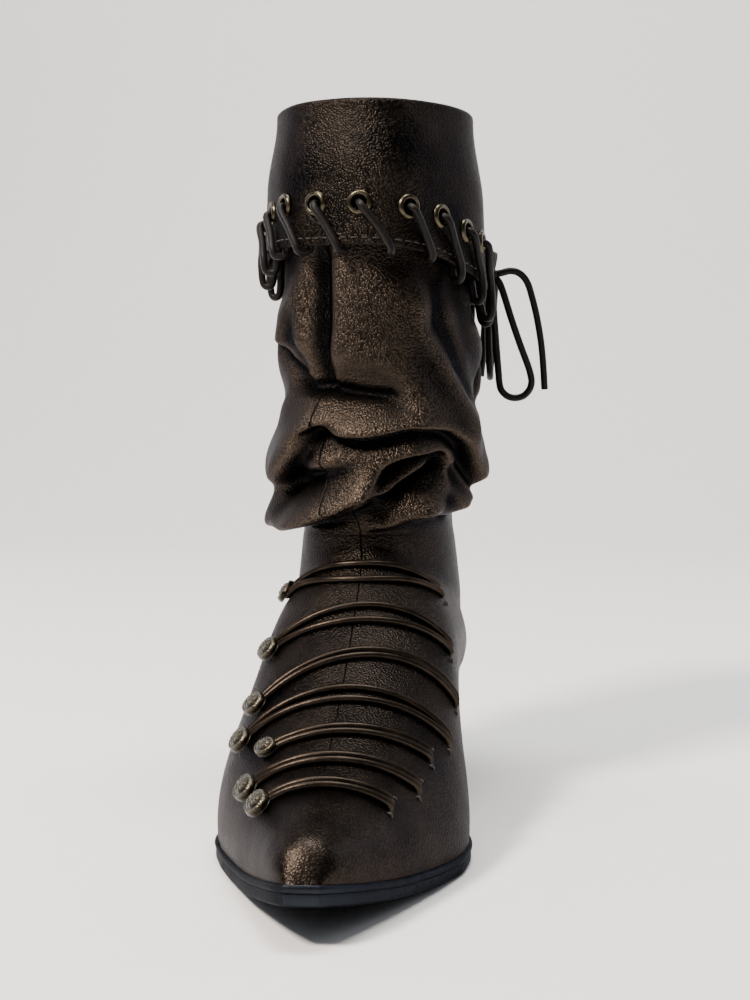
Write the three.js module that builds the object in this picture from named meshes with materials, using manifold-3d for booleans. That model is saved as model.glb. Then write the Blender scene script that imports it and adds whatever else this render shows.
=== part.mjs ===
// A slouched western ankle boot for the right foot, in millimetres.
// +Z is up, the toe points along -Y, and +X is the inner (medial) side.
// The origin is the centre of the heel's underside, on the floor.
import * as THREE from "three";
import { mergeVertices } from "three/addons/utils/BufferGeometryUtils.js";
import Module from "manifold-3d";

const wasm = await Module();
wasm.setup();

// Foot and last
const bootLength = 262;
const heelOverhang = 30; // heel back behind the origin
const ballWidth = 84;
const instepHeight = 95; // floor to the front of the ankle
const ankleHeight = 100; // floor to where the shaft begins
const ankleDepth = 97; // ankle, front to back
const ankleWidth = 56;

// Sole and heel
const heelHeight = 38; // floor to the outsole's underside at the heel back
const toeSpring = 12;
const outsoleThickness = 4;
const midsoleThickness = 1.8;
const insoleThickness = 2.5;
const outsoleMargin = 0.6; // outsole edge beyond the upper
const midsoleMargin = 1; // midsole lip beyond the upper
const insoleMargin = 2; // clearance inside the upper's wall
const soleBevel = 0.8;
const heelBaseWidth = 45;
const heelBaseLength = 44;
const heelBreast = 34; // breast in front of the origin, at the seat
const heelInset = 0.6; // heel inside the outsole's edge
const liftThickness = 6;

// Shaft
const rimHeight = 252;
const shaftWidth = 72;
const shaftDepth = 110;
const wall = 1.8;
const seam = 0.3; // clearance between pieces that meet
const foldDepth = 12; // how far the slouch's main folds stand out
const foldDroop = 0.65; // how far a fold sags for each millimetre that it stands out

// Cuff, its eyelets and its lace
const cuffWall = 1.8;
const cuffDrop = 50; // rim to the cuff's lower edge at the front
const cuffDip = 14; // how much lower the edge hangs at the back
const cuffGap = 4.3; // room for the lace between shaft and cuff
const eyeletCount = 20;
const eyeletRise = 15; // eyelets above the cuff's edge
const eyeletBore = 2.6; // radii
const eyeletBarrel = 3.1;
const eyeletFlange = 4.5;
const eyeletLip = 0.9;
const laceRadius = 1.4;
const laceSlack = 9; // how far the loosest stitches hang below the cuff's edge
const knotRadius = 4;
const tieEyelet = 6; // eyelets between the front and the tie, on the inner side

// Cords and conchos across the vamp
const cordRadius = 1.25;
const cordLift = 0.7; // clearance of a straight stretch of cord over the rounded vamp
const conchoLength = 13;
const conchoWidth = 9;
const conchoHeight = 2.4;

const finish = (color, roughness, metalness) =>
  new THREE.MeshStandardMaterial({ color, roughness, metalness });

const boot = new THREE.Group();
boot.name = "slouch_boot";

function addPiece(name, geometry, material) {
  const piece = new THREE.Mesh(geometry, material);
  piece.name = name;
  boot.add(piece);
  return piece;
}

const mix = (a, b, t) => a + (b - a) * t;
const clamp = (value, low, high) => Math.min(high, Math.max(low, value));

function smooth(from, to, value) {
  const t = clamp((value - from) / (to - from), 0, 1);
  return t * t * (3 - 2 * t);
}

// A column of a table, followed smoothly along the table's first column without overshoot.
function follow(table, column, at) {
  const key = Object.keys(table[0])[0];
  const last = table.length - 1;
  if (at <= table[0][key]) return table[0][column];
  if (at >= table[last][key]) return table[last][column];
  let i = 0;
  while (table[i + 1][key] < at) i++;
  const slope = (k) => (table[k + 1][column] - table[k][column]) / (table[k + 1][key] - table[k][key]);
  const tangent = (k) => {
    if (k === 0) return slope(0);
    if (k === last) return slope(last - 1);
    const before = slope(k - 1);
    const after = slope(k);
    return before * after <= 0 ? 0 : (2 * before * after) / (before + after);
  };
  const width = table[i + 1][key] - table[i][key];
  const t = (at - table[i][key]) / width;
  return (
    (2 * t ** 3 - 3 * t * t + 1) * table[i][column] +
    (t ** 3 - 2 * t * t + t) * tangent(i) * width +
    (3 * t * t - 2 * t ** 3) * table[i + 1][column] +
    (t ** 3 - t * t) * tangent(i + 1) * width
  );
}

// A closed geometry from points and faces, with its faces turned outwards.
function solid(points, faces) {
  const positions = points.flatMap((p) => [p.x, p.y, p.z]);
  const geometry = new THREE.BufferGeometry();
  geometry.setAttribute("position", new THREE.Float32BufferAttribute(positions, 3));
  geometry.setIndex(faces);
  return facingOut(mergeVertices(geometry, 1e-3));
}

function facingOut(geometry) {
  const p = geometry.getAttribute("position");
  const corners = [0, 1, 2].map(() => new THREE.Vector3());
  const old = geometry.index.array;
  const kept = [];
  let volume = 0;
  for (let i = 0; i < old.length; i += 3) {
    const [a, b, c] = [old[i], old[i + 1], old[i + 2]];
    if (a === b || b === c || c === a) continue;
    corners.forEach((corner, k) => corner.fromBufferAttribute(p, old[i + k]));
    volume += corners[0].dot(corners[1].clone().cross(corners[2]));
    kept.push(a, b, c);
  }
  if (volume < 0) kept.reverse();
  geometry.setIndex(kept);
  return geometry;
}

// A body through a stack of rings that have as many points each. It is capped at both ends, or runs
// round from the last ring to the first.
function stack(rings, closed = false) {
  const size = rings[0].length;
  const faces = [];
  const quad = (a, b, c, d) => faces.push(a, b, c, a, c, d);
  const bands = closed ? rings.length : rings.length - 1;
  for (let k = 0; k < bands; k++) {
    const next = (k + 1) % rings.length;
    for (let i = 0; i < size; i++) {
      const j = (i + 1) % size;
      quad(k * size + i, k * size + j, next * size + j, next * size + i);
    }
  }
  const cap = (base, turned) => {
    const face = (a, b, c) => faces.push(base + a, base + (turned ? c : b), base + (turned ? b : c));
    face(0, 1, size - 1);
    let left = 1;
    let right = size - 1;
    while (right - left > 1) {
      face(left, left + 1, right);
      if (right - left > 2) face(left + 1, right - 1, right);
      left++;
      right--;
    }
  };
  if (!closed) {
    cap(0, true);
    cap((rings.length - 1) * size, false);
  }
  return solid(rings.flat(), faces);
}

// The last's bottom outline: half widths as shares of half the ball width, along the boot from the
// heel back (0) to the toe tip (1).
const outline = [
  { along: 0, medial: 0, lateral: 0 },
  { along: 0.006, medial: 0.25, lateral: 0.25 },
  { along: 0.02, medial: 0.44, lateral: 0.44 },
  { along: 0.05, medial: 0.61, lateral: 0.61 },
  { along: 0.09, medial: 0.69, lateral: 0.69 },
  { along: 0.15, medial: 0.7, lateral: 0.71 },
  { along: 0.22, medial: 0.66, lateral: 0.69 },
  { along: 0.32, medial: 0.57, lateral: 0.66 },
  { along: 0.42, medial: 0.63, lateral: 0.77 },
  { along: 0.5, medial: 0.8, lateral: 0.91 },
  { along: 0.57, medial: 0.93, lateral: 0.985 },
  { along: 0.63, medial: 0.98, lateral: 0.975 },
  { along: 0.68, medial: 0.955, lateral: 0.9 },
  { along: 0.74, medial: 0.85, lateral: 0.775 },
  { along: 0.8, medial: 0.71, lateral: 0.635 },
  { along: 0.86, medial: 0.56, lateral: 0.495 },
  { along: 0.92, medial: 0.395, lateral: 0.345 },
  { along: 0.96, medial: 0.28, lateral: 0.24 },
  { along: 0.985, medial: 0.19, lateral: 0.165 },
  { along: 1, medial: 0.115, lateral: 0.105 },
];

// The outsole's underside, as shares of the heel height and of the toe spring.
const underside = [
  { along: 0, heel: 1, toe: 0 },
  { along: 0.25, heel: 0.85, toe: 0 },
  { along: 0.32, heel: 0.66, toe: 0 },
  { along: 0.4, heel: 0.37, toe: 0 },
  { along: 0.48, heel: 0.12, toe: 0 },
  { along: 0.57, heel: 0, toe: 0 },
  { along: 0.68, heel: 0, toe: 0 },
  { along: 0.74, heel: 0, toe: 0.06 },
  { along: 0.84, heel: 0, toe: 0.28 },
  { along: 0.92, heel: 0, toe: 0.6 },
  { along: 1, heel: 0, toe: 1 },
];

const halfBall = ballWidth / 2;
const alongY = (along) => heelOverhang - along * bootLength;
const yAlong = (y) => (heelOverhang - y) / bootLength;
const outlineX = (along, side) => follow(outline, side, along) * halfBall;
const midsoleSeat = outsoleThickness + seam;
const upperSeat = midsoleSeat + midsoleThickness + seam;

// Sections of the foot. Each stands on the feather line at "base" and rises to a crown at "top", both
// shares of the boot's length. "rise" is the crown's height as a share of the instep height, "medial"
// and "lateral" the half widths at mid height as shares of half the ball width, "round" how flat the
// crown is, and "full" how fast the section widens from its foot: the less, the faster.
const footSections = [
  { base: 0.993, top: 0.991, rise: 0.24, medial: 0.145, lateral: 0.13, round: 2.3, full: 1 },
  { base: 0.978, top: 0.976, rise: 0.292, medial: 0.21, lateral: 0.185, round: 2.4, full: 1 },
  { base: 0.95, top: 0.949, rise: 0.322, medial: 0.295, lateral: 0.26, round: 2.4, full: 1 },
  { base: 0.905, top: 0.905, rise: 0.346, medial: 0.41, lateral: 0.36, round: 2.4, full: 1 },
  { base: 0.84, top: 0.84, rise: 0.378, medial: 0.57, lateral: 0.51, round: 2.3, full: 1 },
  { base: 0.765, top: 0.765, rise: 0.438, medial: 0.725, lateral: 0.67, round: 2.2, full: 1 },
  { base: 0.68, top: 0.68, rise: 0.519, medial: 0.85, lateral: 0.825, round: 2.1, full: 1 },
  { base: 0.63, top: 0.63, rise: 0.576, medial: 0.885, lateral: 0.89, round: 2, full: 1 },
  { base: 0.57, top: 0.573, rise: 0.65, medial: 0.89, lateral: 0.925, round: 1.9, full: 1 },
  { base: 0.5, top: 0.52, rise: 0.724, medial: 0.865, lateral: 0.915, round: 1.8, full: 1 },
  { base: 0.43, top: 0.475, rise: 0.799, medial: 0.835, lateral: 0.88, round: 1.7, full: 1 },
  { base: 0.36, top: 0.438, rise: 0.857, medial: 0.81, lateral: 0.85, round: 1.6, full: 0.95 },
  { base: 0.3, top: 0.415, rise: 0.895, medial: 0.795, lateral: 0.825, round: 1.5, full: 0.9 },
  { base: 0.23, top: 0.4, rise: 0.93, medial: 0.785, lateral: 0.805, round: 1.4, full: 0.85 },
  { base: 0.14, top: 0.387, rise: 0.958, medial: 0.77, lateral: 0.785, round: 1.35, full: 0.8 },
  { base: 0.065, top: 0.38, rise: 0.98, medial: 0.755, lateral: 0.765, round: 1.3, full: 0.76 },
  { base: 0.025, top: 0.377, rise: 0.988, medial: 0.745, lateral: 0.75, round: 1.25, full: 0.74 },
  { base: 0.006, top: 0.375, rise: 0.994, medial: 0.74, lateral: 0.745, round: 1.2, full: 0.73 },
  { base: 0, top: 0.373, rise: 1, medial: 0.735, lateral: 0.74, round: 1.15, full: 0.72 },
];

// The sole and the upper's feather line share their stations, from the heel back to the toe tip, and run
// straight between them, so that they meet all along.
const soleStations = [...footSections.map((section) => section.base).reverse(), 1];

function undersideZ(along) {
  const height = (at) =>
    follow(underside, "heel", at) * heelHeight + follow(underside, "toe", at) * toeSpring;
  const last = soleStations.length - 1;
  const k = clamp(soleStations.findIndex((station) => station > along), 1, last);
  const [from, to] = [soleStations[k - 1], soleStations[k]];
  if (along >= 1) return height(1);
  return mix(height(from), height(to), clamp((along - from) / (to - from), 0, 1));
}

const featherZ = (along) => undersideZ(along) + upperSeat;

// Closed sections round the heel: "climb" is the share of the way from the heel seat to the ankle,
// "back" how far behind the heel back, in ankle depths, "front" how far the crown has come from the
// instep to the ankle, and "width" the section's width in ankle widths.
const heelSections = [
  { climb: 0.25, back: 0.022, front: 0.3, width: 1.09, full: 0.74 },
  { climb: 0.52, back: 0.024, front: 0.55, width: 1.06, full: 0.78 },
  { climb: 0.78, back: 0.012, front: 0.8, width: 1.03, full: 0.84 },
  { climb: 1, back: 0.003, front: 1, width: 1, full: 0.9 },
];

// Plain sections of the shaft, before its folds: "up" from the ankle (0) to the rim (1), "width" and
// "depth" in shaft widths and depths, and the centre's shift "inward" and "forward" in the same.
const shaftSections = [
  { up: 0, width: 0.778, depth: 0.882, inward: 0, forward: 0.165 },
  { up: 0.04, width: 0.82, depth: 0.9, inward: 0, forward: 0.158 },
  { up: 0.1, width: 0.87, depth: 0.93, inward: 0, forward: 0.146 },
  { up: 0.25, width: 0.94, depth: 0.96, inward: 0, forward: 0.118 },
  { up: 0.45, width: 0.98, depth: 0.99, inward: 0, forward: 0.1 },
  { up: 0.66, width: 0.965, depth: 1.01, inward: -0.02, forward: 0.09 },
  { up: 0.85, width: 0.945, depth: 1, inward: -0.022, forward: 0.086 },
  { up: 1, width: 0.96, depth: 0.99, inward: -0.025, forward: 0.082 },
];

// The slouch's folds. Each is a line of points, "around" as a share of the girth from the front
// (+ to the inner side) and "up" as a share of the way from the ankle to the rim. "out" is how far it
// stands out in fold depths (minus for a trough), and "above" and "below" its reach in fold depths.
const folds = [
  { name: "front lip", out: 0.95, above: 1.2, below: 0.62,
    line: [[-0.25, 0.17], [-0.11, 0.19], [-0.02, 0.225], [0.04, 0.25], [0.1, 0.255], [0.16, 0.225], [0.21, 0.18]] },
  { name: "back lip", out: 0.8, above: 1.2, below: 0.65,
    line: [[0.25, 0.16], [0.33, 0.14], [0.42, 0.17], [0.5, 0.21], [0.58, 0.19], [0.68, 0.15], [0.75, 0.17]] },
  { name: "pocket over the front lip", out: -0.55, above: 0.6, below: 0.6,
    line: [[-0.1, 0.41], [-0.06, 0.37], [-0.015, 0.35], [0.05, 0.36], [0.09, 0.38]] },
  { name: "front pleat", out: -0.5, above: 0.6, below: 0.6,
    line: [[-0.04, 0.66], [-0.036, 0.5], [-0.03, 0.38]] },
  { name: "inner panel edge", out: 0.4, above: 0.8, below: 0.8,
    line: [[0.09, 0.62], [0.1, 0.56], [0.13, 0.43], [0.17, 0.32]] },
  { name: "low outer roll", out: 0.6, above: 0.6, below: 0.6,
    line: [[-0.2, 0.075], [-0.12, 0.06], [-0.05, 0.07], [0.01, 0.1]] },
  { name: "low inner roll", out: 0.6, above: 0.6, below: 0.6,
    line: [[0.2, 0.1], [0.13, 0.07], [0.08, 0.07]] },
  { name: "inner drape", out: 0.35, above: 0.9, below: 0.9,
    line: [[0.2, 0.5], [0.27, 0.4], [0.33, 0.32]] },
  { name: "outer drape", out: 0.35, above: 0.9, below: 0.9,
    line: [[-0.17, 0.52], [-0.24, 0.42], [-0.32, 0.34]] },
  { name: "upper back roll", out: 0.45, above: 0.9, below: 0.7,
    line: [[0.36, 0.37], [0.44, 0.4], [0.52, 0.41], [0.6, 0.38]] },
  { name: "low back roll", out: 0.5, above: 0.6, below: 0.6,
    line: [[0.4, 0.06], [0.5, 0.08], [0.6, 0.06]] },
];

// How much lower the cuff's edge hangs round the boot, as shares of the cuff's dip.
const cuffHem = [
  { around: -0.5, dip: 1 },
  { around: -0.32, dip: 0.6 },
  { around: -0.2, dip: 0.3 },
  { around: -0.1, dip: 0 },
  { around: 0, dip: 0.02 },
  { around: 0.08, dip: 0.2 },
  { around: 0.16, dip: 0.65 },
  { around: 0.25, dip: 1 },
  { around: 0.38, dip: 1.1 },
  { around: 0.5, dip: 1 },
];

const columns = 32;
const slouchRows = 18;
const cuffRows = 3;

const wrapAround = (around) => around - Math.round(around);
const shaftRise = rimHeight - ankleHeight;
const cuffEdge = (around) => rimHeight - cuffDrop - cuffDip * follow(cuffHem, "dip", wrapAround(around));
const edgeUp = (around) => (cuffEdge(around) - ankleHeight) / shaftRise;

// One side of a section from its foot to its crown, as [half width, share of the way up] at equal
// steps of its length.
function sectionSide(base, middle, { round, full }, height, count) {
  const swell = (middle ** 2 / (1 - 0.5 ** round) - base ** 2) / 0.5 ** full;
  const fine = 60;
  const width = (up) => Math.sqrt(Math.max(0, (1 - up ** round) * (base ** 2 + swell * up ** full)));
  const ups = Array.from({ length: fine + 1 }, (_, i) => Math.sin((i / fine) * (Math.PI / 2)) ** 2);
  const lengths = [0];
  for (let i = 1; i <= fine; i++) {
    const step = Math.hypot(width(ups[i]) - width(ups[i - 1]), (ups[i] - ups[i - 1]) * height);
    lengths.push(lengths[i - 1] + step);
  }
  const side = [];
  let k = 0;
  for (let i = 0; i <= count; i++) {
    const want = (lengths[fine] * i) / count;
    while (k < fine - 1 && lengths[k + 1] < want) k++;
    const t = clamp((want - lengths[k]) / (lengths[k + 1] - lengths[k]), 0, 1);
    const up = mix(ups[k], ups[k + 1], t);
    side.push([width(up), up]);
  }
  return side;
}

// A row of points over the boot: from the lateral foot point over the crown to the medial one.
function sectionRow(foot, crown, lateral, medial, form) {
  const height = foot.distanceTo(crown);
  const half = columns / 2;
  const outer = sectionSide(lateral.base, lateral.middle, form, height, half);
  const inner = sectionSide(medial.base, medial.middle, form, height, half);
  return Array.from({ length: columns + 1 }, (_, j) => {
    const [width, up] = j <= half ? outer[j] : inner[columns - j];
    const point = foot.clone().lerp(crown, up);
    point.x += j <= half ? -width : width;
    return point;
  });
}

function toeRow() {
  return Array.from({ length: columns + 1 }, (_, j) => {
    const x = mix(-outlineX(1, "lateral"), outlineX(1, "medial"), j / columns);
    return new THREE.Vector3(x, alongY(1), featherZ(1));
  });
}

function footRow(section) {
  const foot = new THREE.Vector3(0, alongY(section.base), featherZ(section.base));
  const crown = new THREE.Vector3(0, alongY(section.top), section.rise * instepHeight);
  const side = (name) => ({ base: outlineX(section.base, name), middle: section[name] * halfBall });
  return sectionRow(foot, crown, side("lateral"), side("medial"), section);
}

const instepY = alongY(footSections[footSections.length - 1].top);

function heelRow(section) {
  const backZ = mix(featherZ(0), ankleHeight, section.climb);
  const foot = new THREE.Vector3(0, heelOverhang + section.back * ankleDepth, backZ);
  const frontY = mix(instepY, heelOverhang - ankleDepth, section.front);
  const crown = new THREE.Vector3(0, frontY, mix(instepHeight, ankleHeight, section.front));
  const side = { base: 0, middle: (section.width * ankleWidth) / 2 };
  return sectionRow(foot, crown, side, side, { round: 1, full: section.full });
}

// The plain shaft at a height, up to the ankle's own size at its foot.
function shaftRing(up) {
  const spread = smooth(0, 0.1, up);
  const width = mix(ankleWidth, follow(shaftSections, "width", up) * shaftWidth, spread);
  const depth = mix(ankleDepth, follow(shaftSections, "depth", up) * shaftDepth, spread);
  const x = follow(shaftSections, "inward", up) * shaftWidth;
  const y = mix(heelOverhang - ankleDepth / 2, -follow(shaftSections, "forward", up) * shaftDepth, spread);
  const z = mix(ankleHeight, rimHeight, up);
  const foot = new THREE.Vector3(x, y + depth / 2, z);
  const crown = new THREE.Vector3(x, y - depth / 2, z);
  const side = { base: 0, middle: width / 2 };
  return sectionRow(foot, crown, side, side, { round: 1, full: mix(0.9, 1, spread) });
}

// Level outward directions at a closed ring's points.
function ringOutward(ring) {
  return ring.map((_, j) => {
    const before = ring[j === 0 ? columns - 1 : j - 1];
    const after = ring[j === columns ? 1 : j + 1];
    const along = after.clone().sub(before);
    return new THREE.Vector3(along.y, -along.x, 0).normalize();
  });
}

const girth = Math.PI * Math.hypot(shaftWidth, shaftDepth) * Math.SQRT1_2;

// How far one fold pushes the wall out at a place on the shaft.
function pushOf(fold, around, up) {
  let nearest = Infinity;
  let over = 0;
  let pastEnd = false;
  for (let k = 0; k + 1 < fold.line.length; k++) {
    const [a0, u0] = fold.line[k];
    const [a1, u1] = fold.line[k + 1];
    const turn = Math.round((a0 + a1) / 2 - around);
    const dx = (a1 - a0) * girth;
    const dz = (u1 - u0) * shaftRise;
    const px = (around + turn - a0) * girth;
    const pz = (up - u0) * shaftRise;
    const t = clamp((px * dx + pz * dz) / (dx * dx + dz * dz), 0, 1);
    const away = Math.hypot(px - t * dx, pz - t * dz);
    if (away < nearest) {
      nearest = away;
      over = pz - t * dz;
      pastEnd = (k === 0 && t === 0) || (k + 2 === fold.line.length && t === 1);
    }
  }
  const reach = over >= 0 ? fold.above : fold.below;
  const share = nearest / (foldDepth * (pastEnd ? Math.min(reach, 0.8) : reach));
  return fold.out * foldDepth * Math.exp(-share * share);
}

function foldPush(around, up) {
  const sum = folds.reduce((all, fold) => all + pushOf(fold, around, up), 0);
  const push = foldDepth * Math.tanh(sum / foldDepth);
  const hem = edgeUp(around);
  const fade = push > 0 ? 1 - smooth(hem - 0.12, hem - 0.02, up) : 1 - smooth(hem - 0.04, hem + 0.06, up);
  return push * fade * smooth(0, 0.06, up);
}

function foldedRing(up) {
  const ring = shaftRing(up);
  const outward = ringOutward(ring);
  return ring.map((point, j) => {
    const push = foldPush(j / columns - 0.5, up);
    const moved = point.clone().addScaledVector(outward[j], push);
    moved.z -= foldDroop * Math.max(0, push);
    return moved;
  });
}

function upperRows() {
  const slouchTop = edgeUp(0);
  const rows = [toeRow(), ...footSections.map(footRow), ...heelSections.map(heelRow)];
  for (let i = 1; i <= slouchRows; i++) rows.push(foldedRing((slouchTop * i) / slouchRows));
  for (let i = 1; i <= cuffRows; i++) rows.push(foldedRing(mix(slouchTop, 1, i / cuffRows)));
  return rows;
}

const outerRows = upperRows();
const firstClosed = footSections.length; // the row whose two feet meet at the heel back

// Outward directions of the grid of rows, which is closed round the back from a given row up.
function gridOutward(rows, closedFrom) {
  return rows.map((row, i) => {
    const closed = i >= closedFrom;
    const outward = row.map((_, j) => {
      const left = row[j > 0 ? j - 1 : closed ? columns - 1 : 0];
      const right = row[j < columns ? j + 1 : closed ? 1 : columns];
      const lower = rows[Math.max(0, i - 1)][j];
      const higher = rows[Math.min(rows.length - 1, i + 1)][j];
      return right.clone().sub(left).cross(higher.clone().sub(lower)).normalize();
    });
    if (closed) {
      const back = outward[0].clone().add(outward[columns]).normalize();
      outward[0] = back;
      outward[columns] = back.clone();
    }
    return outward;
  });
}

const outerOutward = gridOutward(outerRows, firstClosed);

// The wall's inner face. Along the feather line it stays level, so the wall stands flat on the sole.
function innerRows() {
  return outerRows.map((row, i) =>
    row.map((point, j) => {
      const outward = outerOutward[i][j].clone();
      const open = i < firstClosed;
      const onFeather = i === 0 || (open && (j === 0 || j === columns));
      if (onFeather) outward.setZ(0).normalize();
      const inner = point.clone().addScaledVector(outward, -wall);
      if (open) inner.z = Math.max(inner.z, row[0].z);
      return inner;
    })
  );
}

// The upper: one wall between its outer and inner faces, open underneath and at the rim.
function upperSolid() {
  const grids = [outerRows, innerRows()];
  const size = columns + 1;
  const last = outerRows.length - 1;
  const faces = [];
  const at = (grid, i, j) => (grid * outerRows.length + i) * size + j;
  const quad = (a, b, c, d) => faces.push(a, b, c, a, c, d);
  for (let i = 0; i < last; i++) {
    for (let j = 0; j < columns; j++) {
      quad(at(0, i, j), at(0, i, j + 1), at(0, i + 1, j + 1), at(0, i + 1, j));
      quad(at(1, i, j), at(1, i + 1, j), at(1, i + 1, j + 1), at(1, i, j + 1));
    }
  }
  for (let i = 0; i < firstClosed; i++) {
    quad(at(0, i, 0), at(0, i + 1, 0), at(1, i + 1, 0), at(1, i, 0));
    quad(at(0, i + 1, columns), at(0, i, columns), at(1, i, columns), at(1, i + 1, columns));
  }
  for (let j = 0; j < columns; j++) {
    quad(at(0, 0, j + 1), at(0, 0, j), at(1, 0, j), at(1, 0, j + 1));
    quad(at(0, last, j), at(0, last, j + 1), at(1, last, j + 1), at(1, last, j));
  }
  return solid(grids.flat(2), faces);
}

addPiece("upper", upperSolid(), finish(0x3a2c22, 0.42, 0.35));

// Sole layers

// The bottom outline from the heel back along the lateral side to a station and back, moved outwards.
function soleOutline(margin, stations = soleStations) {
  const point = (along, side, sign) => new THREE.Vector2(sign * outlineX(along, side), alongY(along));
  const lateral = stations.map((along) => point(along, "lateral", -1));
  const medial = stations.slice(1).reverse().map((along) => point(along, "medial", 1));
  const ring = [...lateral, ...medial];
  return ring.map((corner, i) => {
    const ahead = ring[(i + 1) % ring.length].clone().sub(corner).normalize();
    const behind = corner.clone().sub(ring[(i + ring.length - 1) % ring.length]).normalize();
    const along = ahead.clone().add(behind).normalize();
    const reach = margin / Math.max(0.6, along.dot(ahead));
    return new THREE.Vector2(corner.x + along.y * reach, corner.y - along.x * reach);
  });
}

const lay = (ring, height) => ring.map((p) => new THREE.Vector3(p.x, p.y, undersideZ(yAlong(p.y)) + height));

addPiece(
  "outsole",
  stack([
    lay(soleOutline(outsoleMargin - soleBevel), 0),
    lay(soleOutline(outsoleMargin), soleBevel),
    lay(soleOutline(outsoleMargin), outsoleThickness - soleBevel / 2),
    lay(soleOutline(outsoleMargin - soleBevel / 2), outsoleThickness),
  ]),
  finish(0x15171b, 0.5, 0)
);

addPiece(
  "midsole",
  stack([
    lay(soleOutline(midsoleMargin), midsoleSeat),
    lay(soleOutline(midsoleMargin), midsoleSeat + midsoleThickness),
  ]),
  finish(0x1b1d20, 0.45, 0)
);

const insoleStations = soleStations.filter((along) => along < 0.98);
const insoleOutline = soleOutline(-wall - insoleMargin, insoleStations);
addPiece(
  "insole",
  stack([lay(insoleOutline, upperSeat), lay(insoleOutline, upperSeat + insoleThickness)]),
  finish(0x2c2521, 0.75, 0)
);

// The heel tapers from the outsole's seat to the top lift.

const breastAlong = (heelOverhang + heelBreast) / bootLength;
const seatStations = [...soleStations.filter((along) => along < breastAlong - 0.01), breastAlong];
const heelTaper = [
  { down: 0, shrink: 0 },
  { down: 0.3, shrink: 0.42 },
  { down: 0.65, shrink: 0.82 },
  { down: 1, shrink: 1 },
];

// The heel's outline part of the way from its seat (0) to its base (1).
function heelOutline(shrink) {
  const seat = soleOutline(-heelInset, seatStations);
  const seatWidth = Math.max(...seat.map((p) => p.x)) - Math.min(...seat.map((p) => p.x));
  const seatLength = heelOverhang + heelBreast;
  return seat.map((p) => {
    const base = new THREE.Vector2(
      (p.x * heelBaseWidth) / seatWidth,
      ((p.y + heelBreast) / seatLength - 0.5) * heelBaseLength
    );
    return p.clone().lerp(base, shrink);
  });
}

const heelRings = heelTaper.map(({ down, shrink }) =>
  heelOutline(shrink).map((p, i) => {
    const seatY = heelOutline(0)[i].y;
    const seatZ = undersideZ(yAlong(seatY)) - seam;
    return new THREE.Vector3(p.x, p.y, mix(seatZ, liftThickness + seam, down));
  })
);
addPiece("heel", stack(heelRings.reverse()), finish(0x17181b, 0.45, 0));

const liftRing = (height) => heelOutline(1).map((p) => new THREE.Vector3(p.x, p.y, height));
addPiece("heel_cap", stack([liftRing(0), liftRing(liftThickness)]), finish(0x101113, 0.7, 0));

// Cuff

const shaftRings = new Map();

// A point on the plain shaft and its level outward direction there.
function onShaft(around, z) {
  const key = z.toFixed(4);
  if (!shaftRings.has(key)) {
    const ring = shaftRing((z - ankleHeight) / shaftRise);
    shaftRings.set(key, { ring, outward: ringOutward(ring) });
  }
  const { ring, outward } = shaftRings.get(key);
  const place = (wrapAround(around) + 0.5) * columns;
  const j = Math.min(columns - 1, Math.floor(place));
  const point = ring[j].clone().lerp(ring[j + 1], place - j);
  return { point, outward: outward[j].clone().lerp(outward[j + 1], place - j) };
}

const cuffDowns = [0, 0.22, 0.5, 1];

// A point on one of the cuff's levels, "down" from the rim (0) to the edge (1), and its outward direction.
function cuffLevel(around, down) {
  const { point, outward } = onShaft(around, mix(rimHeight, cuffEdge(around), down));
  const stand = mix(seam, cuffGap, smooth(0, 0.5, down)) + cuffWall;
  return { point: point.addScaledVector(outward, stand), outward };
}

// A point off the cuff's outer face, which runs straight between its levels and on below its edge.
function onCuff(around, down, depth) {
  const last = cuffDowns.length - 1;
  const k = down < 1 ? Math.max(1, cuffDowns.findIndex((level) => level > down)) : last;
  const upper = cuffLevel(around, cuffDowns[k - 1]);
  const lower = cuffLevel(around, cuffDowns[k]);
  const t = (down - cuffDowns[k - 1]) / (cuffDowns[k] - cuffDowns[k - 1]);
  const outward = upper.outward.lerp(lower.outward, t);
  return upper.point.lerp(lower.point, t).addScaledVector(outward, depth);
}

function cuffProfile(around) {
  const outer = cuffDowns.map((down) => onCuff(around, down, 0)).reverse();
  const inner = cuffDowns.slice(1).map((down) => onCuff(around, down, -cuffWall));
  const overRim = (out, height) => {
    const { point, outward } = onShaft(around, rimHeight);
    point.addScaledVector(outward, out);
    point.z += height;
    return point;
  };
  const roll = seam + cuffWall;
  const top = [
    overRim(seam + cuffWall / 2, roll),
    overRim(-wall, roll),
    overRim(-wall, seam),
    overRim(seam, seam),
  ];
  return [...outer, ...top, ...inner];
}

function toSolid(geometry) {
  const { position } = geometry.attributes;
  const triVerts = Uint32Array.from(geometry.index.array);
  const mesh = new wasm.Mesh({ numProp: 3, vertProperties: Float32Array.from(position.array), triVerts });
  return new wasm.Manifold(mesh);
}

function fromSolid(body) {
  const mesh = body.getMesh();
  const geometry = new THREE.BufferGeometry();
  geometry.setAttribute("position", new THREE.BufferAttribute(Float32Array.from(mesh.vertProperties), 3));
  geometry.setIndex([...mesh.triVerts]);
  return geometry;
}

function bare(geometry) {
  geometry.deleteAttribute("normal");
  geometry.deleteAttribute("uv");
  return facingOut(mergeVertices(geometry, 1e-3));
}

// A turn that takes +Y to a direction, with +X as near level as it can be.
function facing(outward) {
  const across = new THREE.Vector3(-outward.y, outward.x, 0).normalize();
  return new THREE.Matrix4().makeBasis(across, outward, across.clone().cross(outward));
}

const eyeletDown = (around) => 1 - eyeletRise / (rimHeight - cuffEdge(around));
const pitch = 1 / eyeletCount;
const tieAround = (tieEyelet + 0.5) * pitch;

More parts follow.
